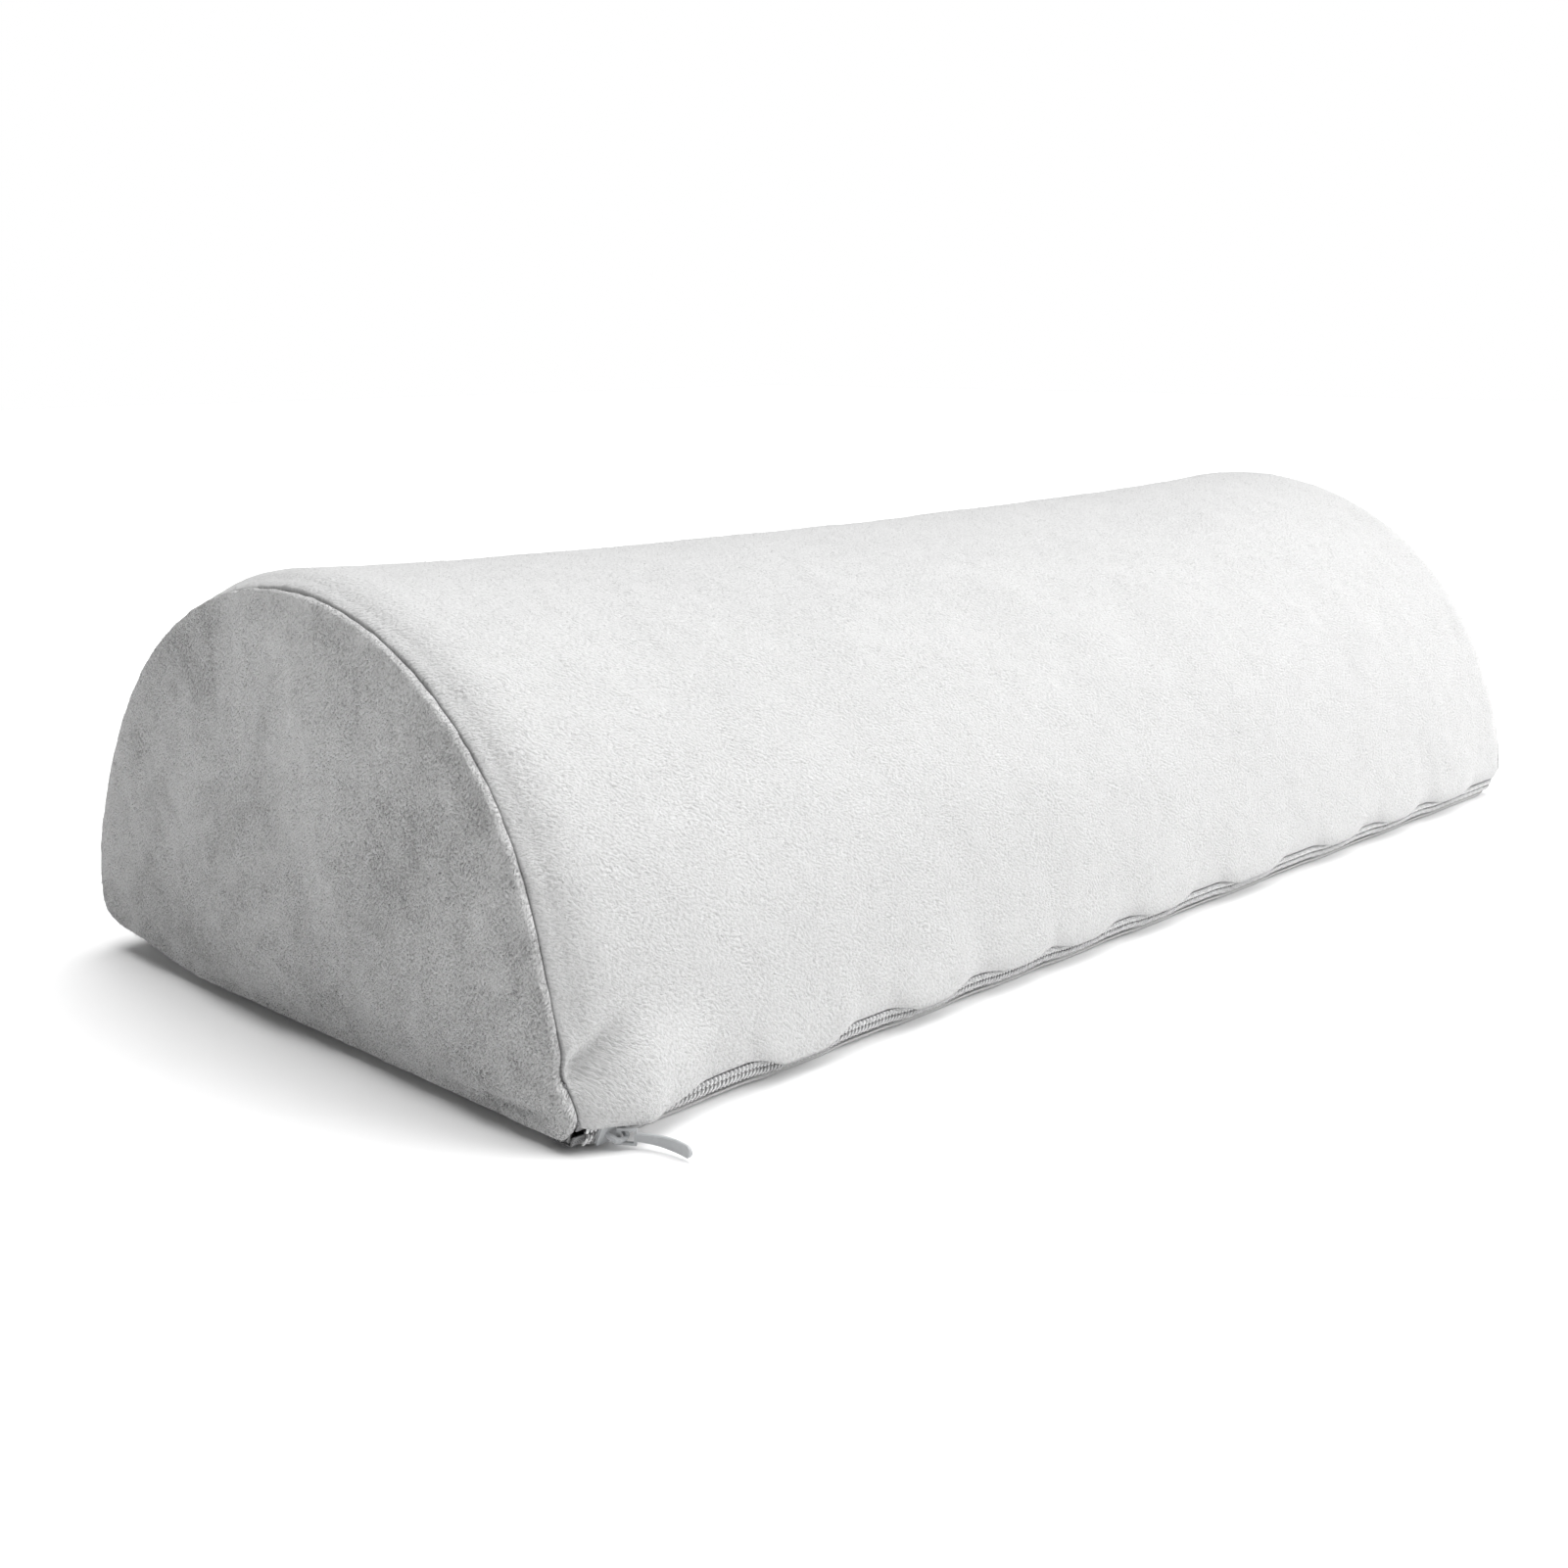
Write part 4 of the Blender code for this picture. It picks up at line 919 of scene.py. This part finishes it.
def build_foam(form, material):
    rows, cols = 60, 120
    t = np.linspace(0, 1, cols)
    centre = np.array([0.0, 0.045])
    pts = []
    gap, corner = 5.5 * MM, 6 * MM
    ease = np.linspace(0, np.pi / 2, 9)
    left = -form.half + gap + corner * (1 - np.cos(ease))
    drawn = corner * (1 - np.sin(ease))
    xs = np.concatenate([left, np.linspace(-form.half + 12 * MM, form.half - 12 * MM, rows), -left[::-1]])
    inset = np.concatenate([drawn, np.zeros(rows), drawn[::-1]])
    for x, extra in zip(xs, inset):
        p, _ = form.shape(np.full(cols, np.clip(x, -form.half + 14 * MM, form.half - 14 * MM)), t, gap)
        yz = p[:, 1:]
        toward = centre - yz
        toward /= np.hypot(*toward.T)[:, None]
        yz = yz + toward * (extra + 1.0 * MM)
        pts.append(np.stack([np.full(cols, x), yz[:, 0], yz[:, 1]], 1))
    grid = np.stack(pts)
    n = len(grid)
    flat = grid.reshape(-1, 3)
    flat += 0.35 * MM * np.stack([noise(flat, 9 * MM, s) for s in (31, 32, 33)], 1)
    verts = np.concatenate([flat, [flat[:cols].mean(0)], [flat[-cols:].mean(0)]])
    quads = grid_faces(n, cols, close_cols=True, flip=True)
    first, last = np.arange(cols), (n - 1) * cols + np.arange(cols)
    caps = np.concatenate([np.stack([first, np.roll(first, -1), np.full(cols, len(verts) - 2)], 1),
                           np.stack([last, np.roll(last, -1), np.full(cols, len(verts) - 1)], 1)[:, ::-1]])
    obj = piece("foam_block", verts, quads, caps)
    coat(obj, material)
    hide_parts("foam_core")
    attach(obj, "cushion")
    return obj


def chain_reach():
    low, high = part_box("wrap_panel")
    return low[0] + 0.6 * MM, high[0] - 0.6 * MM


def spread(x):
    """How far the two halves of the chain part in front of the slider, at rest."""
    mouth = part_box("slider_body")[0][0]
    return 0.45 * MM * smooth((mouth + 0.6 * MM - x) / (3.0 * MM))


def build_tape(form, side, material):
    """A woven tape, side +1 above the chain and -1 below, with a ribbed face."""
    name = "upper_tape" if side > 0 else "lower_tape"
    node = "upper_zip_tape" if side > 0 else "lower_zip_tape"
    start, stop = chain_reach()
    xs = np.linspace(start - 1.4 * MM, stop + 1.4 * MM, 1060)
    u = np.concatenate([np.linspace(0.45, 2.6, 10), np.linspace(3.0, 10.65, 14)]) * MM
    thick = 0.2 * MM + 0.05 * MM * np.cos(u / MM * 2 * np.pi / 1.1)
    ring_u = np.concatenate([u, u[::-1]])
    ring_n = np.concatenate([thick, -thick[::-1]])
    gx, gu = np.meshgrid(xs, ring_u, indexing="ij")
    rib = 0.035 * MM * np.sin(gx / (0.8 * MM) * 2 * np.pi + np.abs((gu / MM) % 2.2 - 1.1) * 4)
    gn = ring_n[None, :] + rib * np.sign(ring_n)[None, :]
    open_up = spread(xs)[:, None] * np.exp(-((gu - u[0]) / (4 * MM)) ** 2)
    yz = over_point(gu + open_up, gn) if side > 0 else under_point(gu + open_up, gn)
    yz = yz + (wander(gx) * (1 - smooth((gu - 3 * MM) / (5 * MM))))[..., None] * ZIP_UP
    grid = np.concatenate([gx[..., None], yz], -1)
    grid[..., 2] = np.maximum(grid[..., 2], 0.3 * MM)
    if side > 0:
        grid[..., 1] += form.drawn_back(gx, grid[..., 2]) * smooth((gu - 2.2 * MM) / (2.5 * MM))
    rows, cols = grid.shape[:2]
    quads = grid_faces(rows, cols, close_cols=True, flip=side > 0)
    ends = np.concatenate([np.arange(cols)[None], (rows - 1) * cols + np.arange(cols)[None]])
    half = cols // 2
    caps = []
    for e, order in zip(ends, (1, -1)):
        a, b = e[:half], e[half:][::-1]
        q = np.stack([a[:-1], a[1:], b[1:], b[:-1]], 1)
        caps.append(q[:, ::order])
    uv = np.stack([gx, gu * np.sign(ring_n)[None, :]], -1).reshape(-1, 2)
    obj = piece(name, grid.reshape(-1, 3), np.concatenate([quads, *caps]), uv=uv)
    coat(obj, material)
    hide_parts(node)
    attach(obj, "cushion")
    return obj


def build_coil(side, material):
    """One side's nylon coil: a wire wound in flat loops whose heads pass between those of the other side."""
    name = "upper_chain_coil" if side > 0 else "lower_chain_coil"
    node = "upper_coil" if side > 0 else "lower_coil"
    start, stop = chain_reach()
    pitch = COIL_PITCH
    turns = int((stop - start - pitch) / pitch)
    per = 14
    k = np.arange(turns * per)
    phase = k / per * 2 * np.pi
    x = start + 0.4 * MM + k / per * pitch + (0.0 if side > 0 else pitch / 2)
    # the wire steps sideways in its legs and crosses straight at the head
    x = x - pitch / (2 * np.pi) * 0.85 * np.sin(phase)
    u = COIL_MIDDLE + COIL_REACH * np.cos(phase)
    head = smooth((0.55 * MM - u) / (0.7 * MM))
    n = COIL_LEVEL + 0.31 * MM * np.sin(phase) - 0.70 * MM * head
    radius = COIL_WIRE * (1 + 0.12 * head)
    yz = zip_point(side * (u + spread(x)) + wander(x), n)
    sides = 7
    verts, quads = tube(np.concatenate([x[:, None], yz], 1), radius, sides)
    # the map's second value marks the heads in the chain's middle, where the coil material paints shade
    uv = np.repeat(np.stack([k / per, smooth((0.75 * MM - u) / (0.5 * MM))], 1), sides, 0)
    obj = piece(name, verts, quads, uv=uv)
    coat(obj, material)
    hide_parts(node)
    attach(obj, "cushion")
    return obj


def build_chain_stitches(side, material):
    """Two rows of stitches that bind the coil to its tape, one stitch over each leg."""
    name = "upper_chain_stitches" if side > 0 else "lower_chain_stitches"
    node = "upper_coil_stitching" if side > 0 else "lower_coil_stitching"
    start, stop = chain_reach()
    count = int((stop - start - 1.6 * MM) / COIL_PITCH)
    x = start + 0.5 * MM + np.arange(count) * COIL_PITCH
    starts, ends, lifts = [], [], []
    for u in (1.25 * MM, 1.72 * MM):
        uu = side * (u + spread(x))
        low = zip_point(uu + wander(x), np.full(count, 1.5 * MM))
        starts.append(np.concatenate([x[:, None] - 0.48 * MM, low], 1))
        ends.append(np.concatenate([x[:, None] + 0.48 * MM, low], 1))
        lifts.append(np.tile(np.array([0, *(ZIP_OUT * 0.22 * MM)]), (count, 1)))
    verts, quads = stitches(np.concatenate(starts), np.concatenate(ends), np.concatenate(lifts), 0.12 * MM)
    obj = piece(name, verts, quads)
    coat(obj, material)
    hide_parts(node)
    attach(obj, "cushion")
    return obj


def build_zip_seam(form, side, material):
    """The straight row that sews the cloth to the tape."""
    name = "upper_zip_seam" if side > 0 else "lower_zip_seam"
    node = "upper_zip_seam_thread" if side > 0 else "lower_zip_seam_thread"
    low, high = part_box(node)
    y, z = (low[1] + high[1]) / 2, (low[2] + high[2]) / 2
    pitch = 2.6 * MM
    count = int((high[0] - low[0] - 1.0 * MM) / pitch)
    x = low[0] + 0.6 * MM + np.arange(count) * pitch
    row = np.full(count, 1.0)
    y = y * row + (form.drawn_back(x, z) if side > 0 else 0)
    shift = wander(x) * (0.8 if side > 0 else 0)
    starts = np.stack([x, y + shift * ZIP_UP[0], row * z + shift * ZIP_UP[1]], 1)
    ends = starts + np.array([2.2 * MM, 0, 0])
    lift = np.tile(np.array([0, *(ZIP_OUT * 0.18 * MM)]), (count, 1))
    verts, quads = stitches(starts, ends, lift, 0.14 * MM, points=7)
    obj = piece(name, verts, quads)
    coat(obj, material)
    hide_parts(node)
    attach(obj, "cushion")
    return obj


def loop_points(form, side, inset, x, pitch):
    """Evenly spaced points (y, z) round the end seam, inset from the cover's outline."""
    t = np.linspace(0, 1, 1400)
    q, _ = form.shape(np.full(1400, side * form.half), t, inset)
    yz = q[:, 1:]
    closed = np.concatenate([yz, yz[:1]])
    arc = np.concatenate([[0], np.cumsum(np.hypot(*np.diff(closed, axis=0).T))])
    count = int(arc[-1] / pitch)
    s = np.arange(count) / count * arc[-1]
    y, z = np.interp(s, arc, closed[:, 0]), np.interp(s, arc, closed[:, 1])
    s2 = (s + pitch * 0.82) % arc[-1]
    y2, z2 = np.interp(s2, arc, closed[:, 0]), np.interp(s2, arc, closed[:, 1])
    return np.stack([np.full(count, x), y, z], 1), np.stack([np.full(count, x), y2, z2], 1)


def build_end_seam(form, side, material):
    """The lockstitch that closes the end panel to the wrap, at the bottom of the seam's valley."""
    name = "left_end_seam" if side < 0 else "right_end_seam"
    node = name + "_thread"
    low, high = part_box(node)
    x = (low[0] + high[0]) / 2
    starts, ends = loop_points(form, side, SEAM_DEPTH, x, 3.0 * MM)
    out = starts - np.array([x, 0, 0.045])
    out[:, 0] = 0
    out /= np.linalg.norm(out, axis=1)[:, None]
    verts, quads = stitches(starts, ends, out * 0.15 * MM, 0.2 * MM, points=7)
    obj = piece(name, verts, quads)
    coat(obj, material)
    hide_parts(node)
    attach(obj, "cushion")
    return obj


def build_overlock(form, side, material):
    """The overlock that binds the two raw edges inside: slanting loops over the edge."""
    name = "left_overlock" if side < 0 else "right_overlock"
    node = name + "_thread"
    low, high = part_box(node)
    x = (low[0] + high[0]) / 2
    a, _ = loop_points(form, side, OVERLOCK_DEPTH, x, 1.3 * MM)
    n = len(a)
    per = 8
    k = np.arange(n * per)
    base = a[k // per] + (np.roll(a, -1, 0)[k // per] - a[k // per]) * ((k % per) / per)[:, None]
    phase = (k % per) / per * 2 * np.pi
    out = base - np.array([x, 0, 0.045])
    out[:, 0] = 0
    out /= np.linalg.norm(out, axis=1)[:, None]
    path = base + out * (0.9 * MM * np.sin(phase))[:, None]
    path[:, 0] += 0.75 * MM * np.cos(phase)
    verts, quads = tube(path, 0.12 * MM, 4, closed=True)
    obj = piece(name, verts, quads)
    coat(obj, material)
    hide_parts(node)
    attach(obj, "cushion")
    return obj


def soften(node, width, material):
    """A cast part keeps its CAD form; its edges are rounded as the casting and paint leave them."""
    obj = bpy.data.objects[node]
    bevel = obj.modifiers.new("rounded edges", "BEVEL")
    bevel.width = width
    bevel.segments = 3
    bevel.limit_method = "ANGLE"
    bevel.angle_limit = math.radians(30)
    for poly in obj.data.polygons:
        poly.use_smooth = True
    coat(obj, material)


# ---------------------------------------------------------------- settings

class CushionSizes(bpy.types.PropertyGroup):
    cloth: bpy.props.FloatVectorProperty(
        name="Velour", description="Colour of the cover",
        subtype="COLOR", size=3, default=(0.51, 0.51, 0.51))
    # The tape's own colour, set dark so that it also paints the shade in the gap between the coil and the cloth's
    # lip
    tape: bpy.props.FloatVectorProperty(
        name="Tape", description="Colour of the zip tapes",
        subtype="COLOR", size=3, default=(0.24, 0.24, 0.245))
    coil: bpy.props.FloatVectorProperty(
        name="Coil", description="Colour of the nylon coils",
        subtype="COLOR", size=3, default=(0.84, 0.84, 0.845))
    thread: bpy.props.FloatVectorProperty(
        name="Thread", description="Colour of the sewing threads",
        subtype="COLOR", size=3, default=(0.78, 0.78, 0.78))
    enamel: bpy.props.FloatVectorProperty(
        name="Enamel", description="Colour of the painted slider",
        subtype="COLOR", size=3, default=(0.40, 0.41, 0.42))
    foam: bpy.props.FloatVectorProperty(
        name="Foam", description="Colour of the foam block",
        subtype="COLOR", size=3, default=(0.86, 0.85, 0.80))
    floor: bpy.props.FloatVectorProperty(
        name="Floor", description="Colour of the floor",
        subtype="COLOR", size=3, default=(0.93, 0.93, 0.93))
    mesh_step: bpy.props.FloatProperty(
        name="Cloth step", description="Spacing of the cover's mesh",
        default=0.00115, unit="LENGTH")
    seam_roll: bpy.props.FloatProperty(
        name="Seam roll", description="Height of the roll along the end seams",
        default=0.0002, unit="LENGTH")
    seam_groove: bpy.props.FloatProperty(
        name="Seam groove", description="Depth of the groove behind the end seams",
        default=0.0002, unit="LENGTH")
    waist: bpy.props.FloatProperty(
        name="Waist", description="Share of the height lost at mid length",
        default=0.018)
    end_rise: bpy.props.FloatProperty(
        name="End rise", description="Share of the height gained at the ends",
        default=0.024)
    ear: bpy.props.FloatProperty(
        name="Corner ear", description="How far the slack front left corner bulges",
        default=0.0028, unit="LENGTH")
    dimple: bpy.props.FloatProperty(
        name="Corner dimple", description="Depth of the dimple above the slack corner",
        default=0.0040, unit="LENGTH")
    back_press: bpy.props.FloatProperty(
        name="Back press", description="How far the lower back is pressed out",
        default=0.0018, unit="LENGTH")
    corner_lift: bpy.props.FloatProperty(
        name="Corner lift", description="How far the back left corner lifts off the floor",
        default=0.005, unit="LENGTH")
    end_swell: bpy.props.FloatProperty(
        name="End swell", description="How far the end panels are pressed out",
        default=0.0035, unit="LENGTH")
    pile: bpy.props.FloatProperty(
        name="Pile", description="Length of the loose pile tips",
        default=0.00055, unit="LENGTH")
    start_inset: bpy.props.FloatProperty(
        name="Cage inset", description="How much smaller the cover starts before it is blown up",
        default=0.0012, unit="LENGTH")
    pressure: bpy.props.FloatProperty(
        name="Pressure", description="Pressure of the filling in the cloth simulation",
        default=4.0)
    slack: bpy.props.FloatProperty(
        name="Slack", description="Share by which the cover is larger than its filling",
        default=0.001)
    cap: bpy.props.FloatProperty(
        name="Movement cap", description="The furthest the simulation may move the cloth",
        default=0.005, unit="LENGTH")
    fill: bpy.props.FloatProperty(
        name="Fill", description="Strength of the light from all round",
        default=0.19)
    key: bpy.props.FloatProperty(
        name="Key lamp", description="Strength of the soft lamp at the front right",
        default=1.62)
    top: bpy.props.FloatProperty(
        name="Top lamp", description="Strength of the soft lamp overhead",
        default=3.5)
    side: bpy.props.FloatProperty(
        name="Side lamp", description="Power of the small lamp at the right",
        default=4.6)
    lens: bpy.props.FloatProperty(name="Lens", description="Focal length of the camera", default=43.155)


def sizes():
    return bpy.context.scene.cushion_sizes


SHARED = {}


def shared_form():
    if "form" not in SHARED:
        form = Form(sizes())
        form.ends = {}
        relax(form)
        SHARED["form"] = form
    return SHARED["form"]


def shared_material(key):
    if key not in SHARED:
        s = sizes()
        make = {"body": lambda: velour("velour_body", tuple(s.cloth), 0.3, 0.55, 0.62, 0.72),
                # painted light: the end panels' velour is the body's colour made 1.1 times lighter, standing in
                # for light the shaded ends don't get
                "ends": lambda: velour("velour_ends_painted_light", tuple(c * 1.1 for c in s.cloth), 1.0, -0.9, 0.75, 1.45),
                "tape": lambda: woven("zip_tape_weave", tuple(s.tape)),
                "coil": lambda: nylon("coil_nylon", tuple(s.coil)),
                "thread": lambda: twist("sewing_thread", tuple(s.thread)),
                "enamel": lambda: enamelled("slider_enamel", tuple(s.enamel)),
                "foam": lambda: open_cells("foam_cells", tuple(s.foam))}
        SHARED[key] = make[key]()
    return SHARED[key]


class CUSHION_OT_foam(bpy.types.Operator):
    """Add the foam block inside the cover"""
    bl_idname = "cushion.foam"
    bl_label = "Foam block"

    def execute(self, context):
        build_foam(shared_form(), shared_material("foam"))
        return {"FINISHED"}


class CUSHION_OT_wrap(bpy.types.Operator):
    """Add the velour wrap that covers the base, back, top and front"""
    bl_idname = "cushion.wrap"
    bl_label = "Wrap panel"

    def execute(self, context):
        build_wrap(shared_form(), shared_material("body"))
        return {"FINISHED"}


class CUSHION_OT_ends(bpy.types.Operator):
    """Add the two half-moon end panels"""
    bl_idname = "cushion.ends"
    bl_label = "End panels"

    def execute(self, context):
        for side in (-1, 1):
            build_end(shared_form(), side, shared_material("ends"))
        return {"FINISHED"}


class CUSHION_OT_pile(bpy.types.Operator):
    """Add the loose pile tips over the cover"""
    bl_idname = "cushion.pile"
    bl_label = "Pile"

    def execute(self, context):
        form = shared_form()
        body, out = form.cover
        build_pile(form, "wrap_pile", body[6:-6], out[6:-6], 60000, 7, shared_material("body"))
        for side, name in ((-1, "left_end_pile"), (1, "right_end_pile")):
            grid = form.ends[side]
            normals = np.zeros_like(grid)
            normals[..., 0] = side
            build_pile(form, name, grid[14:], normals[14:], 12000, 11 + side, shared_material("ends"), 0.4)
            rim = grid[7:17]
            away = rim - np.array([0.0, 0.0, 0.04])
            away[..., 0] = side * 0.03
            away /= np.linalg.norm(away, axis=2)[..., None]
            seam_name = name.replace("end_pile", "seam_pile")
            build_pile(form, seam_name, rim, away, 9000, 21 + side, shared_material("ends"), 0.3)
        return {"FINISHED"}


class CUSHION_OT_tapes(bpy.types.Operator):
    """Add the two woven zip tapes"""
    bl_idname = "cushion.tapes"
    bl_label = "Zip tapes"

    def execute(self, context):
        for side in (1, -1):
            build_tape(shared_form(), side, shared_material("tape"))
        return {"FINISHED"}


class CUSHION_OT_coils(bpy.types.Operator):
    """Add the two nylon coils of the zip"""
    bl_idname = "cushion.coils"
    bl_label = "Zip coils"

    def execute(self, context):
        for side in (1, -1):
            build_coil(side, shared_material("coil"))
        return {"FINISHED"}


class CUSHION_OT_stitching(bpy.types.Operator):
    """Add the stitches of the coils, the zip seams, the end seams and the overlocked edges"""
    bl_idname = "cushion.stitching"
    bl_label = "Stitching"

    def execute(self, context):
        thread = shared_material("thread")
        for side in (1, -1):
            build_chain_stitches(side, thread)
            build_zip_seam(shared_form(), side, thread)
            build_end_seam(shared_form(), side, thread)
            build_overlock(shared_form(), side, thread)
        return {"FINISHED"}


class CUSHION_OT_slider(bpy.types.Operator):
    """Finish the slider and its puller"""
    bl_idname = "cushion.slider"
    bl_label = "Slider and puller"

    def execute(self, context):
        soften("slider_body", 0.12 * MM, shared_material("enamel"))
        soften("pull_tab", 0.18 * MM, shared_material("enamel"))
        return {"FINISHED"}


class CUSHION_OT_stage(bpy.types.Operator):
    """Set the floor, lights and camera"""
    bl_idname = "cushion.stage"
    bl_label = "Stage"

    def execute(self, context):
        s = sizes()
        half = 4.0
        corners = [(-half, -half, 0), (half, -half, 0), (half, half, 0), (-half, half, 0)]
        floor = piece("floor", corners, [(0, 1, 2, 3)])
        coat(floor, plain_floor("pale_floor", tuple(s.floor)))
        context.scene.world = soft_room(s.fill)
        sun("key", (0.50, -0.66, 0.48), s.key, 40)
        sun("top", (0.15, 0.05, 1.0), s.top, 60)
        side_lamp(s.side)
        context.scene.camera = studio_camera(s.lens)
        context.scene.view_settings.view_transform = "Standard"
        return {"FINISHED"}


def soft_room(strength):
    """White all round, with a gentle light of its own."""
    world = bpy.data.worlds.new("soft_room")
    world.use_nodes = True
    tree = world.node_tree
    glow = tree.nodes["Background"]
    glow.inputs["Color"].default_value = (1, 1, 1, 1)
    glow.inputs["Strength"].default_value = strength
    backdrop = tree.nodes.new("ShaderNodeBackground")
    backdrop.inputs["Color"].default_value = (1, 1, 1, 1)
    path = tree.nodes.new("ShaderNodeLightPath")
    mix = tree.nodes.new("ShaderNodeMixShader")
    tree.links.new(path.outputs["Is Camera Ray"], mix.inputs[0])
    tree.links.new(glow.outputs[0], mix.inputs[1])
    tree.links.new(backdrop.outputs[0], mix.inputs[2])
    tree.links.new(mix.outputs[0], tree.nodes["World Output"].inputs["Surface"])
    return world


def side_lamp(power):
    """A round soft lamp near the right end, aimed at the cushion."""
    lamp = bpy.data.lights.new("side", "AREA")
    lamp.shape, lamp.size, lamp.energy = "DISK", 0.8, power
    obj = bpy.data.objects.new("side", lamp)
    obj.location = (0.75, -0.55, 0.40)
    obj.rotation_mode = "QUATERNION"
    obj.rotation_quaternion = (Vector((0.1, 0, 0.05)) - obj.location).to_track_quat("-Z", "Y")
    bpy.context.scene.collection.objects.link(obj)


def studio_camera(lens):
    """The camera at the front left, a little above the cushion."""
    camera = bpy.data.cameras.new("camera")
    camera.lens = lens
    camera.sensor_width = 36
    camera.clip_start, camera.clip_end = 0.01, 20
    azimuth, elevation, roll = (math.radians(v) for v in (-45.646, 13.449, -0.324))
    back = Vector((math.sin(azimuth) * math.cos(elevation), -math.cos(azimuth) * math.cos(elevation),
                   math.sin(elevation)))
    obj = bpy.data.objects.new("camera", camera)
    obj.location = (-0.43754, -0.37775, 0.16307)
    obj.rotation_mode = "QUATERNION"
    obj.rotation_quaternion = (-back).to_track_quat("-Z", "Y") @ Quaternion((0, 0, 1), roll)
    bpy.context.scene.collection.objects.link(obj)
    return obj


def sun(name, place, strength, spread_angle):
    light = bpy.data.lights.new(name, "SUN")
    light.energy = strength
    light.angle = math.radians(spread_angle)
    obj = bpy.data.objects.new(name, light)
    obj.rotation_mode = "QUATERNION"
    obj.rotation_quaternion = (-Vector(place)).to_track_quat("-Z", "Y")
    bpy.context.scene.collection.objects.link(obj)


OPERATORS = (CUSHION_OT_foam, CUSHION_OT_wrap, CUSHION_OT_ends, CUSHION_OT_pile, CUSHION_OT_tapes,
             CUSHION_OT_coils, CUSHION_OT_stitching, CUSHION_OT_slider, CUSHION_OT_stage)


class CUSHION_PT_panel(bpy.types.Panel):
    bl_label = "Cushion"
    bl_idname = "CUSHION_PT_panel"
    bl_space_type = "VIEW_3D"
    bl_region_type = "UI"
    bl_category = "Cushion"

    def draw(self, context):
        for name in CushionSizes.__annotations__:
            self.layout.prop(context.scene.cushion_sizes, name)
        for operator in OPERATORS:
            self.layout.operator(operator.bl_idname)


def register():
    bpy.utils.register_class(CushionSizes)
    bpy.types.Scene.cushion_sizes = bpy.props.PointerProperty(type=CushionSizes)
    for cls in (*OPERATORS, CUSHION_PT_panel):
        bpy.utils.register_class(cls)


def unregister():
    for cls in (CUSHION_PT_panel, *OPERATORS[::-1]):
        bpy.utils.unregister_class(cls)
    del bpy.types.Scene.cushion_sizes
    bpy.utils.unregister_class(CushionSizes)


def main():
    register()
    bpy.ops.cushion.foam()
    bpy.ops.cushion.wrap()
    bpy.ops.cushion.ends()
    bpy.ops.cushion.pile()
    bpy.ops.cushion.tapes()
    bpy.ops.cushion.coils()
    bpy.ops.cushion.stitching()
    bpy.ops.cushion.slider()
    bpy.ops.cushion.stage()


if __name__ == "__main__":
    main()
